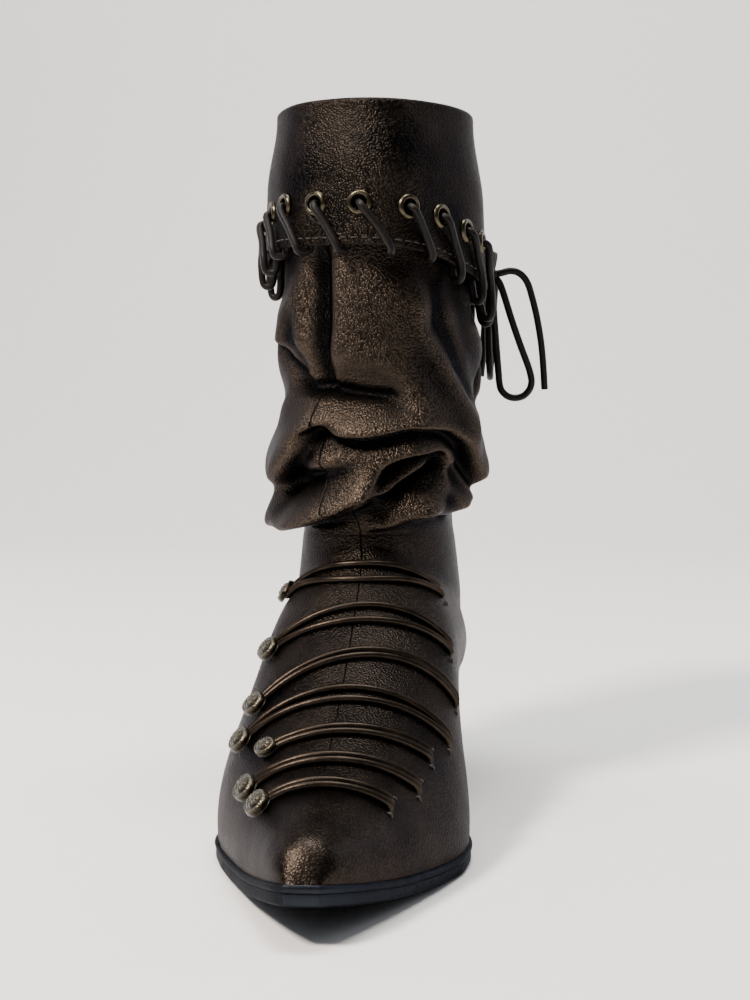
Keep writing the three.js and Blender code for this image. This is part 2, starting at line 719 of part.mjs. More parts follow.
const eyelets = Array.from({ length: eyeletCount }, (_, k) => {
  const around = tieAround + (k + 0.5) * pitch;
  const low = onCuff(around, 1, 0);
  const high = onCuff(around, 0.5, 0);
  const side = onShaft(around, cuffEdge(around)).outward;
  const level = new THREE.Vector3(-side.y, side.x, 0);
  const outward = level.cross(high.sub(low)).normalize();
  return { around, centre: onCuff(around, eyeletDown(around), 0), outward };
});

let cuffBody = toSolid(stack(outerRows[0].slice(1).map((_, j) => cuffProfile(j / columns - 0.5)), true));
for (const { centre, outward } of eyelets) {
  const punch = new THREE.CylinderGeometry(eyeletBarrel + seam, eyeletBarrel + seam, 4 * cuffWall, 8);
  punch.applyMatrix4(facing(outward).setPosition(centre));
  cuffBody = cuffBody.subtract(toSolid(bare(punch)));
}
addPiece("cuff", fromSolid(cuffBody), finish(0x3a2c22, 0.42, 0.35));

const eyeletProfile = [
  [eyeletBore, -cuffWall],
  [eyeletBarrel, -cuffWall],
  [eyeletBarrel, seam],
  [eyeletFlange, seam],
  [mix(eyeletBore, eyeletFlange, 0.15), seam + eyeletLip],
  [eyeletBore, -cuffWall],
].map(([radius, height]) => new THREE.Vector2(radius, height));

eyelets.forEach(({ centre, outward }, k) => {
  const ring = bare(new THREE.LatheGeometry(eyeletProfile, 8));
  ring.applyMatrix4(facing(outward).setPosition(centre));
  addPiece(`eyelet_${String(k + 1).padStart(2, "0")}`, ring, finish(0x8a7a5c, 0.4, 0.9));
});

// A round cord along points, with flat ends.
function cordAlong(points, radius, sides) {
  let side = null;
  const rings = points.map((point, i) => {
    const ahead = points[Math.min(i + 1, points.length - 1)];
    const along = ahead.clone().sub(points[Math.max(i - 1, 0)]).normalize();
    side = side ?? new THREE.Vector3(along.y, -along.x, 0);
    side = side.clone().addScaledVector(along, -side.dot(along)).normalize();
    const up = along.clone().cross(side);
    return Array.from({ length: sides }, (_, k) => {
      const turn = (2 * Math.PI * k) / sides;
      const spoke = side.clone().multiplyScalar(Math.cos(turn)).addScaledVector(up, Math.sin(turn));
      return point.clone().addScaledVector(spoke, radius);
    });
  });
  return stack(rings);
}

// The lace goes out through an eyelet, down over the cuff's edge, and up behind it to the next one.
// Its stitches hang looser towards the back. "slack" is in lace slacks.
const laceLooseness = [
  { around: -0.5, slack: 0.8 },
  { around: -0.3, slack: 0.8 },
  { around: -0.16, slack: 0.3 },
  { around: -0.1, slack: 0 },
  { around: 0.08, slack: 0 },
  { around: 0.16, slack: 0.5 },
  { around: 0.26, slack: 1 },
  { around: 0.5, slack: 0.8 },
];

const laceClear = 0.6;
const laceOut = laceRadius + laceClear; // the lace's middle off the cuff's face
const laceIn = -cuffWall - laceRadius - laceClear;

// A point on the lace, "rise" above the cuff's edge and "depth" off its outer face.
const lacePoint = (around, rise, depth) =>
  onCuff(around, 1 - rise / (rimHeight - cuffEdge(around)), depth);

// The lace's turn under the cuff's edge, from outside to inside.
function laceTurn(around, drop) {
  const across = 0.03 * pitch;
  const low = -laceRadius - laceClear - 0.2 - drop;
  return [
    lacePoint(around - 2 * across, laceClear, laceOut),
    lacePoint(around - across, low, 0.6 * laceOut),
    lacePoint(around + across, low, -cuffWall - 0.6 * laceOut),
    lacePoint(around + 2 * across, laceClear, laceIn),
  ];
}

function laceStitch({ around, centre, outward }) {
  const on = (share) => around + share * pitch;
  const drop = laceSlack * follow(laceLooseness, "slack", wrapAround(on(0.62)));
  const through = (share, rise, depth) =>
    lacePoint(on(share), eyeletRise + rise, 0).addScaledVector(outward, depth);
  return {
    inside: [through(-0.12, -0.35 * eyeletRise, laceIn), through(-0.02, -0.9, laceIn)],
    hole: [centre.clone().addScaledVector(outward, -cuffWall / 2), through(0.02, -0.2, eyeletLip + 0.7)],
    outside: [
      through(0.1, -2.2, eyeletLip + laceRadius + 0.7),
      lacePoint(on(0.34), 0.46 * eyeletRise, laceOut + 0.3),
    ],
    turn: laceTurn(on(0.62), drop),
  };
}

const knotHeight = 8; // the knot above the cuff's edge
const stitches = eyelets.map(laceStitch);
const laceStart = [
  lacePoint(tieAround + 0.36 * pitch, knotHeight - 1, laceOut),
  ...laceTurn(tieAround + 0.36 * pitch, 0),
];
const laceRoute = stitches.flatMap(({ inside, hole, outside, turn }, k) => {
  if (k + 1 < eyeletCount) return [...inside, ...hole, ...outside, ...turn];
  return [...inside, ...hole, outside[0], lacePoint(tieAround - 0.36 * pitch, knotHeight + 1, laceOut)];
});
addPiece("cuff_lace", cordAlong([...laceStart, ...laceRoute], laceRadius, 5), finish(0x241f1d, 0.6, 0));

// The lace is tied at the back of the inner side: a knot, two loops and two ends, which hang free.
const knot = lacePoint(tieAround, knotHeight, knotRadius + seam);
const knotBody = new THREE.IcosahedronGeometry(knotRadius, 1);
knotBody.translate(knot.x, knot.y, knot.z);
addPiece("bow_knot", bare(knotBody), finish(0x241f1d, 0.6, 0));

// The tie's cords, from the knot's middle: outwards, backwards along the cuff, and down.
const bow = {
  bow_loop_1: [
    [3.3, -0.9, 2.8], [5.2, -0.9, 7.5], [8.4, -0.4, 17], [12.2, 0.6, 27], [15.6, 1.8, 35],
    [17, 2.4, 39], [17.6, 2.9, 42.2], [16.8, 3.4, 45.3], [14.5, 4, 47.7], [11.3, 4.6, 48.5],
    [8.2, 5, 47.7], [5.8, 5.2, 45.3], [5, 5.3, 42.2], [4.7, 5.2, 39], [4.2, 5, 34], [3.4, 4.5, 26],
    [2.4, 3.2, 17.5], [1.4, 1.6, 10], [0.4, 0.4, 4.4],
  ],
  bow_end_1: [
    [4, -1.8, -0.7], [7.6, -2.7, -1.5], [11.2, -3.2, -0.4], [14.2, -3, 3], [16.4, -2.4, 9],
    [18.6, -1.6, 17], [20.4, -0.8, 26], [21.6, 0.1, 35], [22.5, 1, 45],
  ],
  bow_loop_2: [
    [2, 3.75, -0.9], [3.6, 7.6, -0.8], [4.7, 11.4, 1.2], [5.1, 14.6, 5.6], [5.2, 17, 12.5],
    [5.2, 19, 20.5], [5.1, 20.2, 27], [5, 20.5, 31], [4.9, 20.5, 34], [4.5, 19.7, 37.2],
    [3.9, 17.4, 39.5], [3.2, 14.2, 40.3], [2.5, 11, 39.5], [1.8, 8.7, 37.2], [1.4, 7.9, 34],
    [1.3, 7.9, 31], [1.1, 8, 26], [1, 7.8, 19], [0.9, 6.8, 12], [0.8, 5.5, 6.8], [0.44, 3.5, 2.64],
  ],
  bow_end_2: [
    [1.3, 2.2, -3.5], [2.5, 4.9, -6.6], [3.5, 8.6, -8.2], [4, 12.6, -7.3], [4, 16, -3.8], [3.7, 19, 2],
    [3.3, 22, 10], [3, 24.5, 20], [3, 26.5, 30], [2.5, 28.2, 40],
  ],
};

const tieOut = onShaft(tieAround, knot.z).outward.normalize();
const tieBack = new THREE.Vector3(-tieOut.y, tieOut.x, 0);

for (const [name, points] of Object.entries(bow)) {
  const path = new THREE.CatmullRomCurve3(
    points.map(([out, back, down]) =>
      knot.clone().addScaledVector(tieOut, out).addScaledVector(tieBack, back).setZ(knot.z - down)
    )
  );
  const section = new THREE.Shape(
    Array.from({ length: 8 }, (_, k) => {
      const turn = (2 * Math.PI * k) / 8;
      return new THREE.Vector2(laceRadius * Math.cos(turn), laceRadius * Math.sin(turn));
    })
  );
  const steps = Math.ceil(path.getLength() / (5 * laceRadius));
  const cord = new THREE.ExtrudeGeometry(section, { steps, extrudePath: path, bevelEnabled: false });
  addPiece(name, bare(cord), finish(0x241f1d, 0.6, 0));
}

// Cords across the vamp. Each goes over from its concho on the outer side, turns at a slit on the inner
// side and comes back. "outer", "middle" and "inner" are its places along the boot, "lateral" and
// "medial" its ends as shares of the way over the vamp, "apart" how far its two runs part in the
// middle, in cord widths, and "concho" its concho's size as a share of the full one.
const vampLaces = [
  { outer: 0.838, middle: 0.836, inner: 0.823, lateral: 0.262, medial: 0.752, apart: 1.25, concho: 1 },
  { outer: 0.776, middle: 0.778, inner: 0.753, lateral: 0.235, medial: 0.778, apart: 1.25, concho: 1 },
  { outer: 0.722, middle: 0.712, inner: 0.68, lateral: 0.32, medial: 0.755, apart: 1.25, concho: 0.8 },
  { outer: 0.65, middle: 0.638, inner: 0.611, lateral: 0.245, medial: 0.785, apart: 2.6, concho: 1 },
  { outer: 0.594, middle: 0.555, inner: 0.507, lateral: 0.29, medial: 0.782, apart: 1.25, concho: 1 },
  { outer: 0.482, middle: 0.482, inner: 0.435, lateral: 0.305, medial: 0.74, apart: 3.2, concho: 1 },
  { outer: 0.332, middle: 0.408, inner: 0.332, lateral: 0.3, medial: 0.69, apart: 3, concho: 1 },
];

// A point on the vamp in the plane across the boot at y, and its outward direction.
function onVamp(y, across) {
  const place = across * columns;
  const j = Math.min(columns - 1, Math.floor(place));
  const crossing = (column) => {
    let i = 1;
    while (outerRows[i + 1][column].y < y) i++;
    const from = outerRows[i][column];
    const to = outerRows[i + 1][column];
    const t = clamp((y - from.y) / (to.y - from.y), 0, 1);
    const outward = outerOutward[i][column].clone().lerp(outerOutward[i + 1][column], t);
    return { point: from.clone().lerp(to, t), outward };
  };
  const left = crossing(j);
  const right = crossing(j + 1);
  const outward = left.outward.lerp(right.outward, place - j).normalize();
  return { point: left.point.lerp(right.point, place - j), outward };
}

// A place on the way of a cord over the vamp, and which way is beside it.
function onVampCord({ outer, middle, inner, lateral, medial }, share) {
  const spotAt = (t) => {
    const along = outer * (2 * t - 1) * (t - 1) + 4 * middle * t * (1 - t) + inner * t * (2 * t - 1);
    return onVamp(alongY(along), mix(lateral, medial, t));
  };
  const spot = spotAt(share);
  const ahead = spotAt(share + 0.02).point.sub(spotAt(share - 0.02).point);
  return { ...spot, beside: new THREE.Vector3().crossVectors(spot.outward, ahead).normalize() };
}

function vampCord(row) {
  const run = (sign) =>
    Array.from({ length: 8 }, (_, k) => {
      const share = k / 7;
      const half = mix(1.25, row.apart, Math.sin(Math.PI * share)) * cordRadius;
      const spot = onVampCord(row, share);
      return spot.point
        .addScaledVector(spot.beside, sign * half)
        .addScaledVector(spot.outward, cordRadius + cordLift);
    });
  return [...run(-1), ...run(1).reverse()];
}

vampLaces.forEach((row, k) => {
  addPiece(`vamp_lace_${k + 1}`, cordAlong(vampCord(row), cordRadius, 5), finish(0x2e241d, 0.38, 0.3));
  const spot = onVamp(alongY(row.outer), row.lateral);
  const dome = bare(
    new THREE.LatheGeometry(
      [[0, 0], [1, 0], [0.94, 0.4], [0.6, 0.85], [0, 1]].map(([r, h]) => new THREE.Vector2(r, h)),
      12
    )
  );
  const size = row.concho / 2;
  dome.scale(conchoWidth * size, conchoHeight, conchoLength * size);
  const lift = 2 * cordRadius + cordLift + seam;
  dome.applyMatrix4(facing(spot.outward).setPosition(spot.point.addScaledVector(spot.outward, lift)));
  addPiece(`concho_${k + 1}`, dome, finish(0x5b564a, 0.45, 0.9));
});

export default boot;
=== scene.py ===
# A slouched western ankle boot for the right foot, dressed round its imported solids. Shapes are worked
# out in millimetres: +Z is up, the toe points along -Y, and +X is the inner (medial) side.
import math

import bpy
import numpy as np
from mathutils import Matrix, Vector


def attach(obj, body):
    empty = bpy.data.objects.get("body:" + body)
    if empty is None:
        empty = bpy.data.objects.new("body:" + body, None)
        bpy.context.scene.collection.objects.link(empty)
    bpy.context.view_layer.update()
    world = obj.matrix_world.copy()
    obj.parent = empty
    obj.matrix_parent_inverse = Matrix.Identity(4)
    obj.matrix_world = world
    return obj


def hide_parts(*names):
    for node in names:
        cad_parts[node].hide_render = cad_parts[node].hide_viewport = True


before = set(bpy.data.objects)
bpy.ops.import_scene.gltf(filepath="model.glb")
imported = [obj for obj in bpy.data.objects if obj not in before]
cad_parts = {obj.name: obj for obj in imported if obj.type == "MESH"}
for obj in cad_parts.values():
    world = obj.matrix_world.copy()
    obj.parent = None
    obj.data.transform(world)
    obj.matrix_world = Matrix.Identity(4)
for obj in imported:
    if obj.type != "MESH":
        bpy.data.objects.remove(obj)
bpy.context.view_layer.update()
MM = 0.001

# Camera, floor and lights
# A standing product shot from a little above the rim's middle and from the inner side, on a plain
# pale floor that curves up into its backdrop, with soft lamps all round.
camera = bpy.data.objects.new("camera", bpy.data.cameras.new("camera"))
bpy.context.scene.collection.objects.link(camera)
camera.location = (0.072, -0.735, 0.162)
aim = Vector((0.006, -0.09, 0.1135)) - camera.location
camera.rotation_euler = aim.to_track_quat("-Z", "Y").to_euler()
camera.data.lens = 68
bpy.context.scene.camera = camera


def linear(colour):
    """An sRGB hex colour as Blender's linear red, green, blue and alpha."""
    parts = [int(colour[k : k + 2], 16) / 255 for k in (0, 2, 4)]
    return (*(c / 12.92 if c <= 0.04045 else ((c + 0.055) / 1.055) ** 2.4 for c in parts), 1)


def put(shader, kind, inputs=(), **settings):
    """Adds a node beside a shader. Each input is set to its value, or linked where that is a socket."""
    tree = shader.id_data
    node = tree.nodes.new("ShaderNode" + kind)
    for name, value in settings.items():
        setattr(node, name, value)
    for name, value in dict(inputs).items():
        if isinstance(value, bpy.types.NodeSocket):
            tree.links.new(value, node.inputs[name])
        else:
            node.inputs[name].default_value = value
    return node


def spaced(width):
    """The scale that makes a pattern's cells as wide as the real ones, in millimetres."""
    return 1 / (width * MM)


def surface(name, **values):
    """A new material and its shader, with the shader's plain values set."""
    material = bpy.data.materials.new(name)
    material.use_nodes = True
    shader = material.node_tree.nodes["Principled BSDF"]
    for socket, value in values.items():
        shader.inputs[socket.replace("_", " ")].default_value = value
    return material, shader


def wire(shader, socket, source):
    """Links a node's output to one of the shader's sockets."""
    shader.id_data.links.new(source, shader.inputs[socket])


def two_toned(shader, pattern, dark, light, gloss=None, relief=None):
    """Colours a surface from dark to light by a pattern. Gloss is its range of roughness, by the same
    pattern, and relief a height with its strength and its depth in millimetres."""
    tint = put(shader, "Mix", {0: pattern, 6: linear(dark), 7: linear(light)}, data_type="RGBA")
    wire(shader, "Base Color", tint.outputs[2])
    if gloss:
        rough = put(shader, "MapRange", {"Value": pattern, "To Min": gloss[0], "To Max": gloss[1]})
        wire(shader, "Roughness", rough.outputs[0])
    if relief:
        height, strength, depth = relief
        bump = put(shader, "Bump", {"Height": height, "Strength": strength, "Distance": depth * MM})
        wire(shader, "Normal", bump.outputs["Normal"])


def mesh_piece(name, points, faces, material):
    """A smooth-shaded piece from points, in millimetres, and faces."""
    mesh = bpy.data.meshes.new(name)
    mesh.from_pydata((np.asarray(points, float).reshape(-1, 3) * MM).tolist(), [], faces)
    mesh.materials.append(material)
    mesh.polygons.foreach_set("use_smooth", [True] * len(mesh.polygons))
    mesh.update()
    piece = bpy.data.objects.new(name, mesh)
    bpy.context.scene.collection.objects.link(piece)
    return piece


# Wall paint, rolled on: a fine speckle and no shine.
floor_paint, paint = surface("matt_white_floor", Roughness=0.9)
speck = put(paint, "TexNoise", {"Scale": spaced(1.1), "Detail": 2.0})
two_toned(paint, speck.outputs["Fac"], "f1f0ee", "f7f6f4")

FLOOR_FRONT = -3000
FLOOR_BACK = 900
SWEEP_RADIUS = 500
BACKDROP_TOP = 3500
HALF_FLOOR = 4000
sweep = [(FLOOR_FRONT, 0), (FLOOR_BACK, 0)]
for turn in np.linspace(0.1, math.pi / 2, 16):
    sweep.append((FLOOR_BACK + SWEEP_RADIUS * math.sin(turn), SWEEP_RADIUS * (1 - math.cos(turn))))
sweep.append((FLOOR_BACK + SWEEP_RADIUS, BACKDROP_TOP))
floor_points = [(x, y, z) for y, z in sweep for x in (-HALF_FLOOR, HALF_FLOOR)]
floor_faces = [(2 * k, 2 * k + 1, 2 * k + 3, 2 * k + 2) for k in range(len(sweep) - 1)]
floor = mesh_piece("studio_floor", floor_points, floor_faces, floor_paint)

world = bpy.data.worlds.new("studio")
world.use_nodes = True
background = world.node_tree.nodes["Background"]
background.inputs["Color"].default_value = linear("f2f4f7")
background.inputs["Strength"].default_value = 0.06
bpy.context.scene.world = world

lamps = [
    # name, place, aim, width, height, watts, colour
    ("key_lamp", (-0.6, -0.75, 1.1), (0, -0.1, 0.12), 0.26, 0.26, 34, "fff2e6"),
    ("top_lamp", (0.1, -0.1, 1.4), (0, -0.05, 0.1), 0.4, 0.4, 9, "fff8f2"),
    ("left_panel", (-1.0, 0.45, 0.5), (0, -0.05, 0.15), 0.5, 0.9, 5, "eef3ff"),
    ("right_panel", (1.0, 0.45, 0.5), (0, -0.05, 0.15), 0.4, 0.9, 4, "eef3ff"),
    ("backdrop_lamp", (0, 0.2, 2.2), (0, 1.3, 0.4), 1.6, 0.6, 42, "ffffff"),
]
for name, place, target, width, height, watts, colour in lamps:
    lamp = bpy.data.objects.new(name, bpy.data.lights.new(name, "AREA"))
    lamp.data.shape = "RECTANGLE"
    lamp.data.size = width
    lamp.data.size_y = height
    lamp.data.energy = watts
    lamp.data.color = linear(colour)[:3]
    lamp.location = place
    lamp.rotation_euler = (Vector(target) - Vector(place)).to_track_quat("-Z", "Y").to_euler()
    bpy.context.scene.collection.objects.link(lamp)

# Upper
# Soft cowhide with a bronze foil finish, blocked over the last and left long in the shaft, which
# slouches into folds above the ankle. It is lasted under and caught between insole and sole.
BOOT_LENGTH = 262
HEEL_OVERHANG = 30
HALF_BALL = 42
INSTEP_HEIGHT = 95
ANKLE_HEIGHT = 100
ANKLE_DEPTH = 97
ANKLE_WIDTH = 56
HEEL_HEIGHT = 38
TOE_SPRING = 12
UPPER_SEAT = 6.4
RIM_HEIGHT = 252
SHAFT_WIDTH = 72
SHAFT_DEPTH = 110
SHAFT_RISE = RIM_HEIGHT - ANKLE_HEIGHT
GIRTH = math.pi * math.hypot(SHAFT_WIDTH, SHAFT_DEPTH) * math.sqrt(0.5)
WALL = 1.8
FOLD_DEPTH = 12
FOLD_DROOP = 0.65
SOFTENING = 5
UPPER_COLUMNS = 240

# Shares of the boot's length from the heel back, and half widths as shares of half the ball's width.
outline = np.array([
    # along, medial, lateral
    (0, 0, 0), (0.006, 0.25, 0.25), (0.02, 0.44, 0.44), (0.05, 0.61, 0.61), (0.09, 0.69, 0.69),
    (0.15, 0.7, 0.71), (0.22, 0.66, 0.69), (0.32, 0.57, 0.66), (0.42, 0.63, 0.77), (0.5, 0.8, 0.91),
    (0.57, 0.93, 0.985), (0.63, 0.98, 0.975), (0.68, 0.955, 0.9), (0.74, 0.85, 0.775),
    (0.8, 0.71, 0.635), (0.86, 0.56, 0.495), (0.92, 0.395, 0.345), (0.96, 0.28, 0.24),
    (0.985, 0.19, 0.165), (1, 0.115, 0.105),
])
# The tread's height as shares of the heel height and of the toe spring.
underside = np.array([
    # along, heel, toe
    (0, 1, 0), (0.25, 0.85, 0), (0.32, 0.66, 0), (0.4, 0.37, 0), (0.48, 0.12, 0), (0.57, 0, 0),
    (0.68, 0, 0), (0.74, 0, 0.06), (0.84, 0, 0.28), (0.92, 0, 0.6), (1, 0, 1),
])
# Sections of the foot, from toe to heel: each stands at base and leans back to its crown at top.
foot_sections = np.array([
    # base, top, rise, medial, lateral, round, full
    (0.993, 0.991, 0.24, 0.145, 0.13, 2.3, 1), (0.978, 0.976, 0.292, 0.21, 0.185, 2.4, 1),
    (0.95, 0.949, 0.322, 0.295, 0.26, 2.4, 1), (0.905, 0.905, 0.346, 0.41, 0.36, 2.4, 1),
    (0.84, 0.84, 0.378, 0.57, 0.51, 2.3, 1), (0.765, 0.765, 0.438, 0.725, 0.67, 2.2, 1),
    (0.68, 0.68, 0.519, 0.85, 0.825, 2.1, 1), (0.63, 0.63, 0.576, 0.885, 0.89, 2, 1),
    (0.57, 0.573, 0.65, 0.89, 0.925, 1.9, 1), (0.5, 0.52, 0.724, 0.865, 0.915, 1.8, 1),
    (0.43, 0.475, 0.799, 0.835, 0.88, 1.7, 1), (0.36, 0.438, 0.857, 0.81, 0.85, 1.6, 0.95),
    (0.3, 0.415, 0.895, 0.795, 0.825, 1.5, 0.9), (0.23, 0.4, 0.93, 0.785, 0.805, 1.4, 0.85),
    (0.14, 0.387, 0.958, 0.77, 0.785, 1.35, 0.8), (0.065, 0.38, 0.98, 0.755, 0.765, 1.3, 0.76),
    (0.025, 0.377, 0.988, 0.745, 0.75, 1.25, 0.74), (0.006, 0.375, 0.994, 0.74, 0.745, 1.2, 0.73),
    (0, 0.373, 1, 0.735, 0.74, 1.15, 0.72),
])
# Sections round the heel and up to the ankle.
heel_sections = np.array([
    # climb, back, front, width, full
    (0.25, 0.022, 0.3, 1.09, 0.74), (0.52, 0.024, 0.55, 1.06, 0.78), (0.78, 0.012, 0.8, 1.03, 0.84),
    (1, 0.003, 1, 1, 0.9),
])
# The plain shaft, from the ankle to the rim, in shaft widths and depths.
shaft_sections = np.array([
    # up, width, depth, inward, forward
    (0, 0.778, 0.882, 0, 0.165), (0.04, 0.82, 0.9, 0, 0.158), (0.1, 0.87, 0.93, 0, 0.146),
    (0.25, 0.94, 0.96, 0, 0.118), (0.45, 0.98, 0.99, 0, 0.1), (0.66, 0.965, 1.01, -0.02, 0.09),
    (0.85, 0.945, 1, -0.022, 0.086), (1, 0.96, 0.99, -0.025, 0.082),
])


def between(t, start, end, start_pull, end_pull):
    """The smooth way from start to end, leaving and arriving as the pulls say."""
    return (
        (2 * t**3 - 3 * t * t + 1) * start
        + (t**3 - 2 * t * t + t) * start_pull
        + (3 * t * t - 2 * t**3) * end
        + (t**3 - t * t) * end_pull
    )


def follow(table, column, at):
    """A table's column, followed smoothly along its first column without overshoot."""
    keys, values = table[:, 0], table[:, column]
    at = np.clip(at, keys[0], keys[-1])
    slope = np.diff(values) / np.diff(keys)
    turns = slope[:-1] * slope[1:] <= 0
    both = np.where(turns, 1, slope[:-1] + slope[1:])
    tangent = np.concatenate([slope[:1], np.where(turns, 0, 2 * slope[:-1] * slope[1:] / both), slope[-1:]])
    i = np.clip(np.searchsorted(keys, at) - 1, 0, len(keys) - 2)
    width = np.diff(keys)[i]
    t = (at - keys[i]) / width
    return between(t, values[i], values[i + 1], tangent[i] * width, tangent[i + 1] * width)


def ease(start, end, value):
    """From 0 at start to 1 at end, leaving and arriving level."""
    t = np.clip((value - start) / (end - start), 0, 1)
    return t * t * (3 - 2 * t)


def outline_x(along, side):
    return follow(outline, 1 if side == "medial" else 2, along) * HALF_BALL


def along_y(along):
    return HEEL_OVERHANG - along * BOOT_LENGTH


def tread_z(along):
    return follow(underside, 1, along) * HEEL_HEIGHT + follow(underside, 2, along) * TOE_SPRING


def section_side(base, middle, roundness, full, height, count):
    """Half widths and shares of the way up at equal steps from a section's foot to its crown."""
    swell = (middle**2 / (1 - 0.5**roundness) - base**2) / 0.5**full
    up = np.sin(np.linspace(0, math.pi / 2, 500)) ** 2
    width = np.sqrt(np.maximum(0, (1 - up**roundness) * (base**2 + swell * up**full)))
    length = np.concatenate([[0], np.cumsum(np.hypot(np.diff(width), np.diff(up) * height))])
    want = np.linspace(0, length[-1], count + 1)
    return np.interp(want, length, width), np.interp(want, length, up)


def section_row(foot, crown, lateral, medial, roundness, full):
    """A row of points from the lateral foot over the crown to the medial foot."""
    foot, crown = np.array(foot, float), np.array(crown, float)
    height = np.linalg.norm(crown - foot)
    half = UPPER_COLUMNS // 2
    outer, outer_up = section_side(*lateral, roundness, full, height, half)
    inner, inner_up = section_side(*medial, roundness, full, height, half)
    up = np.concatenate([outer_up, inner_up[-2::-1]])
    row = foot + (crown - foot) * up[:, None]
    row[:, 0] += np.concatenate([-outer, inner[-2::-1]])
    return row


def shaft_row(up):
    """One closed row round the plain shaft, a share of the way up from the ankle."""
    spread = float(ease(0, 0.1, up))
    width = (1 - spread) * ANKLE_WIDTH + spread * follow(shaft_sections, 1, up) * SHAFT_WIDTH
    depth = (1 - spread) * ANKLE_DEPTH + spread * follow(shaft_sections, 2, up) * SHAFT_DEPTH
    x = follow(shaft_sections, 3, up) * SHAFT_WIDTH
    ankle_y = HEEL_OVERHANG - ANKLE_DEPTH / 2
    y = (1 - spread) * ankle_y - spread * follow(shaft_sections, 4, up) * SHAFT_DEPTH
    z = ANKLE_HEIGHT + up * SHAFT_RISE
    side = (0, width / 2)
    return section_row((x, y + depth / 2, z), (x, y - depth / 2, z), side, side, 1, 0.9 + 0.1 * spread)


def foot_rows():
    """The rows of the foot, from the toe over the instep and round the heel to the ankle."""
    share = np.linspace(0, 1, UPPER_COLUMNS + 1)
    toe_x = -outline_x(1, "lateral") + share * (outline_x(1, "lateral") + outline_x(1, "medial"))
    level = np.ones_like(toe_x)
    toe = np.stack([toe_x, level * along_y(1), level * (tread_z(1) + UPPER_SEAT)], 1)
    rows = [toe]
    for base, top, rise, medial, lateral, roundness, full in foot_sections:
        rows.append(section_row(
            (0, along_y(base), tread_z(base) + UPPER_SEAT), (0, along_y(top), rise * INSTEP_HEIGHT),
            (outline_x(base, "lateral"), lateral * HALF_BALL),
            (outline_x(base, "medial"), medial * HALF_BALL), roundness, full,
        ))
    seat = HEEL_HEIGHT + UPPER_SEAT
    instep_y = along_y(foot_sections[-1][1])
    for climb, back, front, width, full in heel_sections:
        foot = (0, HEEL_OVERHANG + back * ANKLE_DEPTH, seat + climb * (ANKLE_HEIGHT - seat))
        crown_y = instep_y + front * (HEEL_OVERHANG - ANKLE_DEPTH - instep_y)
        crown = (0, crown_y, INSTEP_HEIGHT + front * (ANKLE_HEIGHT - INSTEP_HEIGHT))
        side = (0, width * ANKLE_WIDTH / 2)
        rows.append(section_row(foot, crown, side, side, 1, full))
    return rows


def blend_rows(rows, step):
    """Rows smoothly filled in between, no further apart than a step. Returns them and their places."""
    rows = np.array(rows)
    gaps = np.linalg.norm(np.diff(rows, axis=0), axis=2)
    spacing = gaps.mean(1)
    slope = np.diff(rows, axis=0) / spacing[:, None, None]
    share = (spacing[1:] / (spacing[:-1] + spacing[1:]))[:, None, None]
    inner = slope[:-1] * share + slope[1:] * (1 - share)
    tangent = np.concatenate([slope[:1], inner, slope[-1:]])
    filled, places = [], []
    for k in range(len(rows) - 1):
        count = max(1, math.ceil(gaps[k].max() / step))
        pulls = (tangent[k] * spacing[k], tangent[k + 1] * spacing[k])
        for t in np.arange(count) / count:
            filled.append(between(t, rows[k], rows[k + 1], *pulls))
            places.append(k + t)
    return filled, places


# The slouch's folds: each a soft ridge (or, below 0, a trough) along a line on the shaft. Places are
# shares of the girth from the front (+ inwards) and of the way from the ankle to the rim.
folds = [
    # out, above, below (in fold depths), line
    (0.95, 1.2, 0.62, [
        (-0.25, 0.17), (-0.11, 0.19), (-0.02, 0.225), (0.04, 0.25), (0.1, 0.255), (0.16, 0.225),
        (0.21, 0.18),
    ]),
    (0.8, 1.2, 0.65, [
        (0.25, 0.16), (0.33, 0.14), (0.42, 0.17), (0.5, 0.21), (0.58, 0.19), (0.68, 0.15), (0.75, 0.17),
    ]),
    (-0.45, 0.5, 0.6, [(-0.12, 0.39), (-0.06, 0.36), (-0.01, 0.34), (0.035, 0.33)]),
    (-0.4, 0.4, 0.4, [(-0.064, 0.66), (-0.068, 0.5), (-0.078, 0.38)]),
    (0.4, 0.8, 0.8, [(0.09, 0.62), (0.1, 0.56), (0.13, 0.43), (0.17, 0.32)]),
    (0.6, 0.6, 0.6, [(-0.2, 0.075), (-0.12, 0.06), (-0.05, 0.07), (0.01, 0.1)]),
    (0.6, 0.6, 0.6, [(0.2, 0.1), (0.13, 0.07), (0.08, 0.07)]),
    (0.35, 0.9, 0.9, [(0.2, 0.5), (0.27, 0.4), (0.33, 0.32)]),
    (0.35, 0.9, 0.9, [(-0.17, 0.52), (-0.24, 0.42), (-0.32, 0.34)]),
    (0.45, 0.9, 0.7, [(0.36, 0.37), (0.44, 0.4), (0.52, 0.41), (0.6, 0.38)]),
    (0.5, 0.6, 0.6, [(0.4, 0.06), (0.5, 0.08), (0.6, 0.06)]),
]
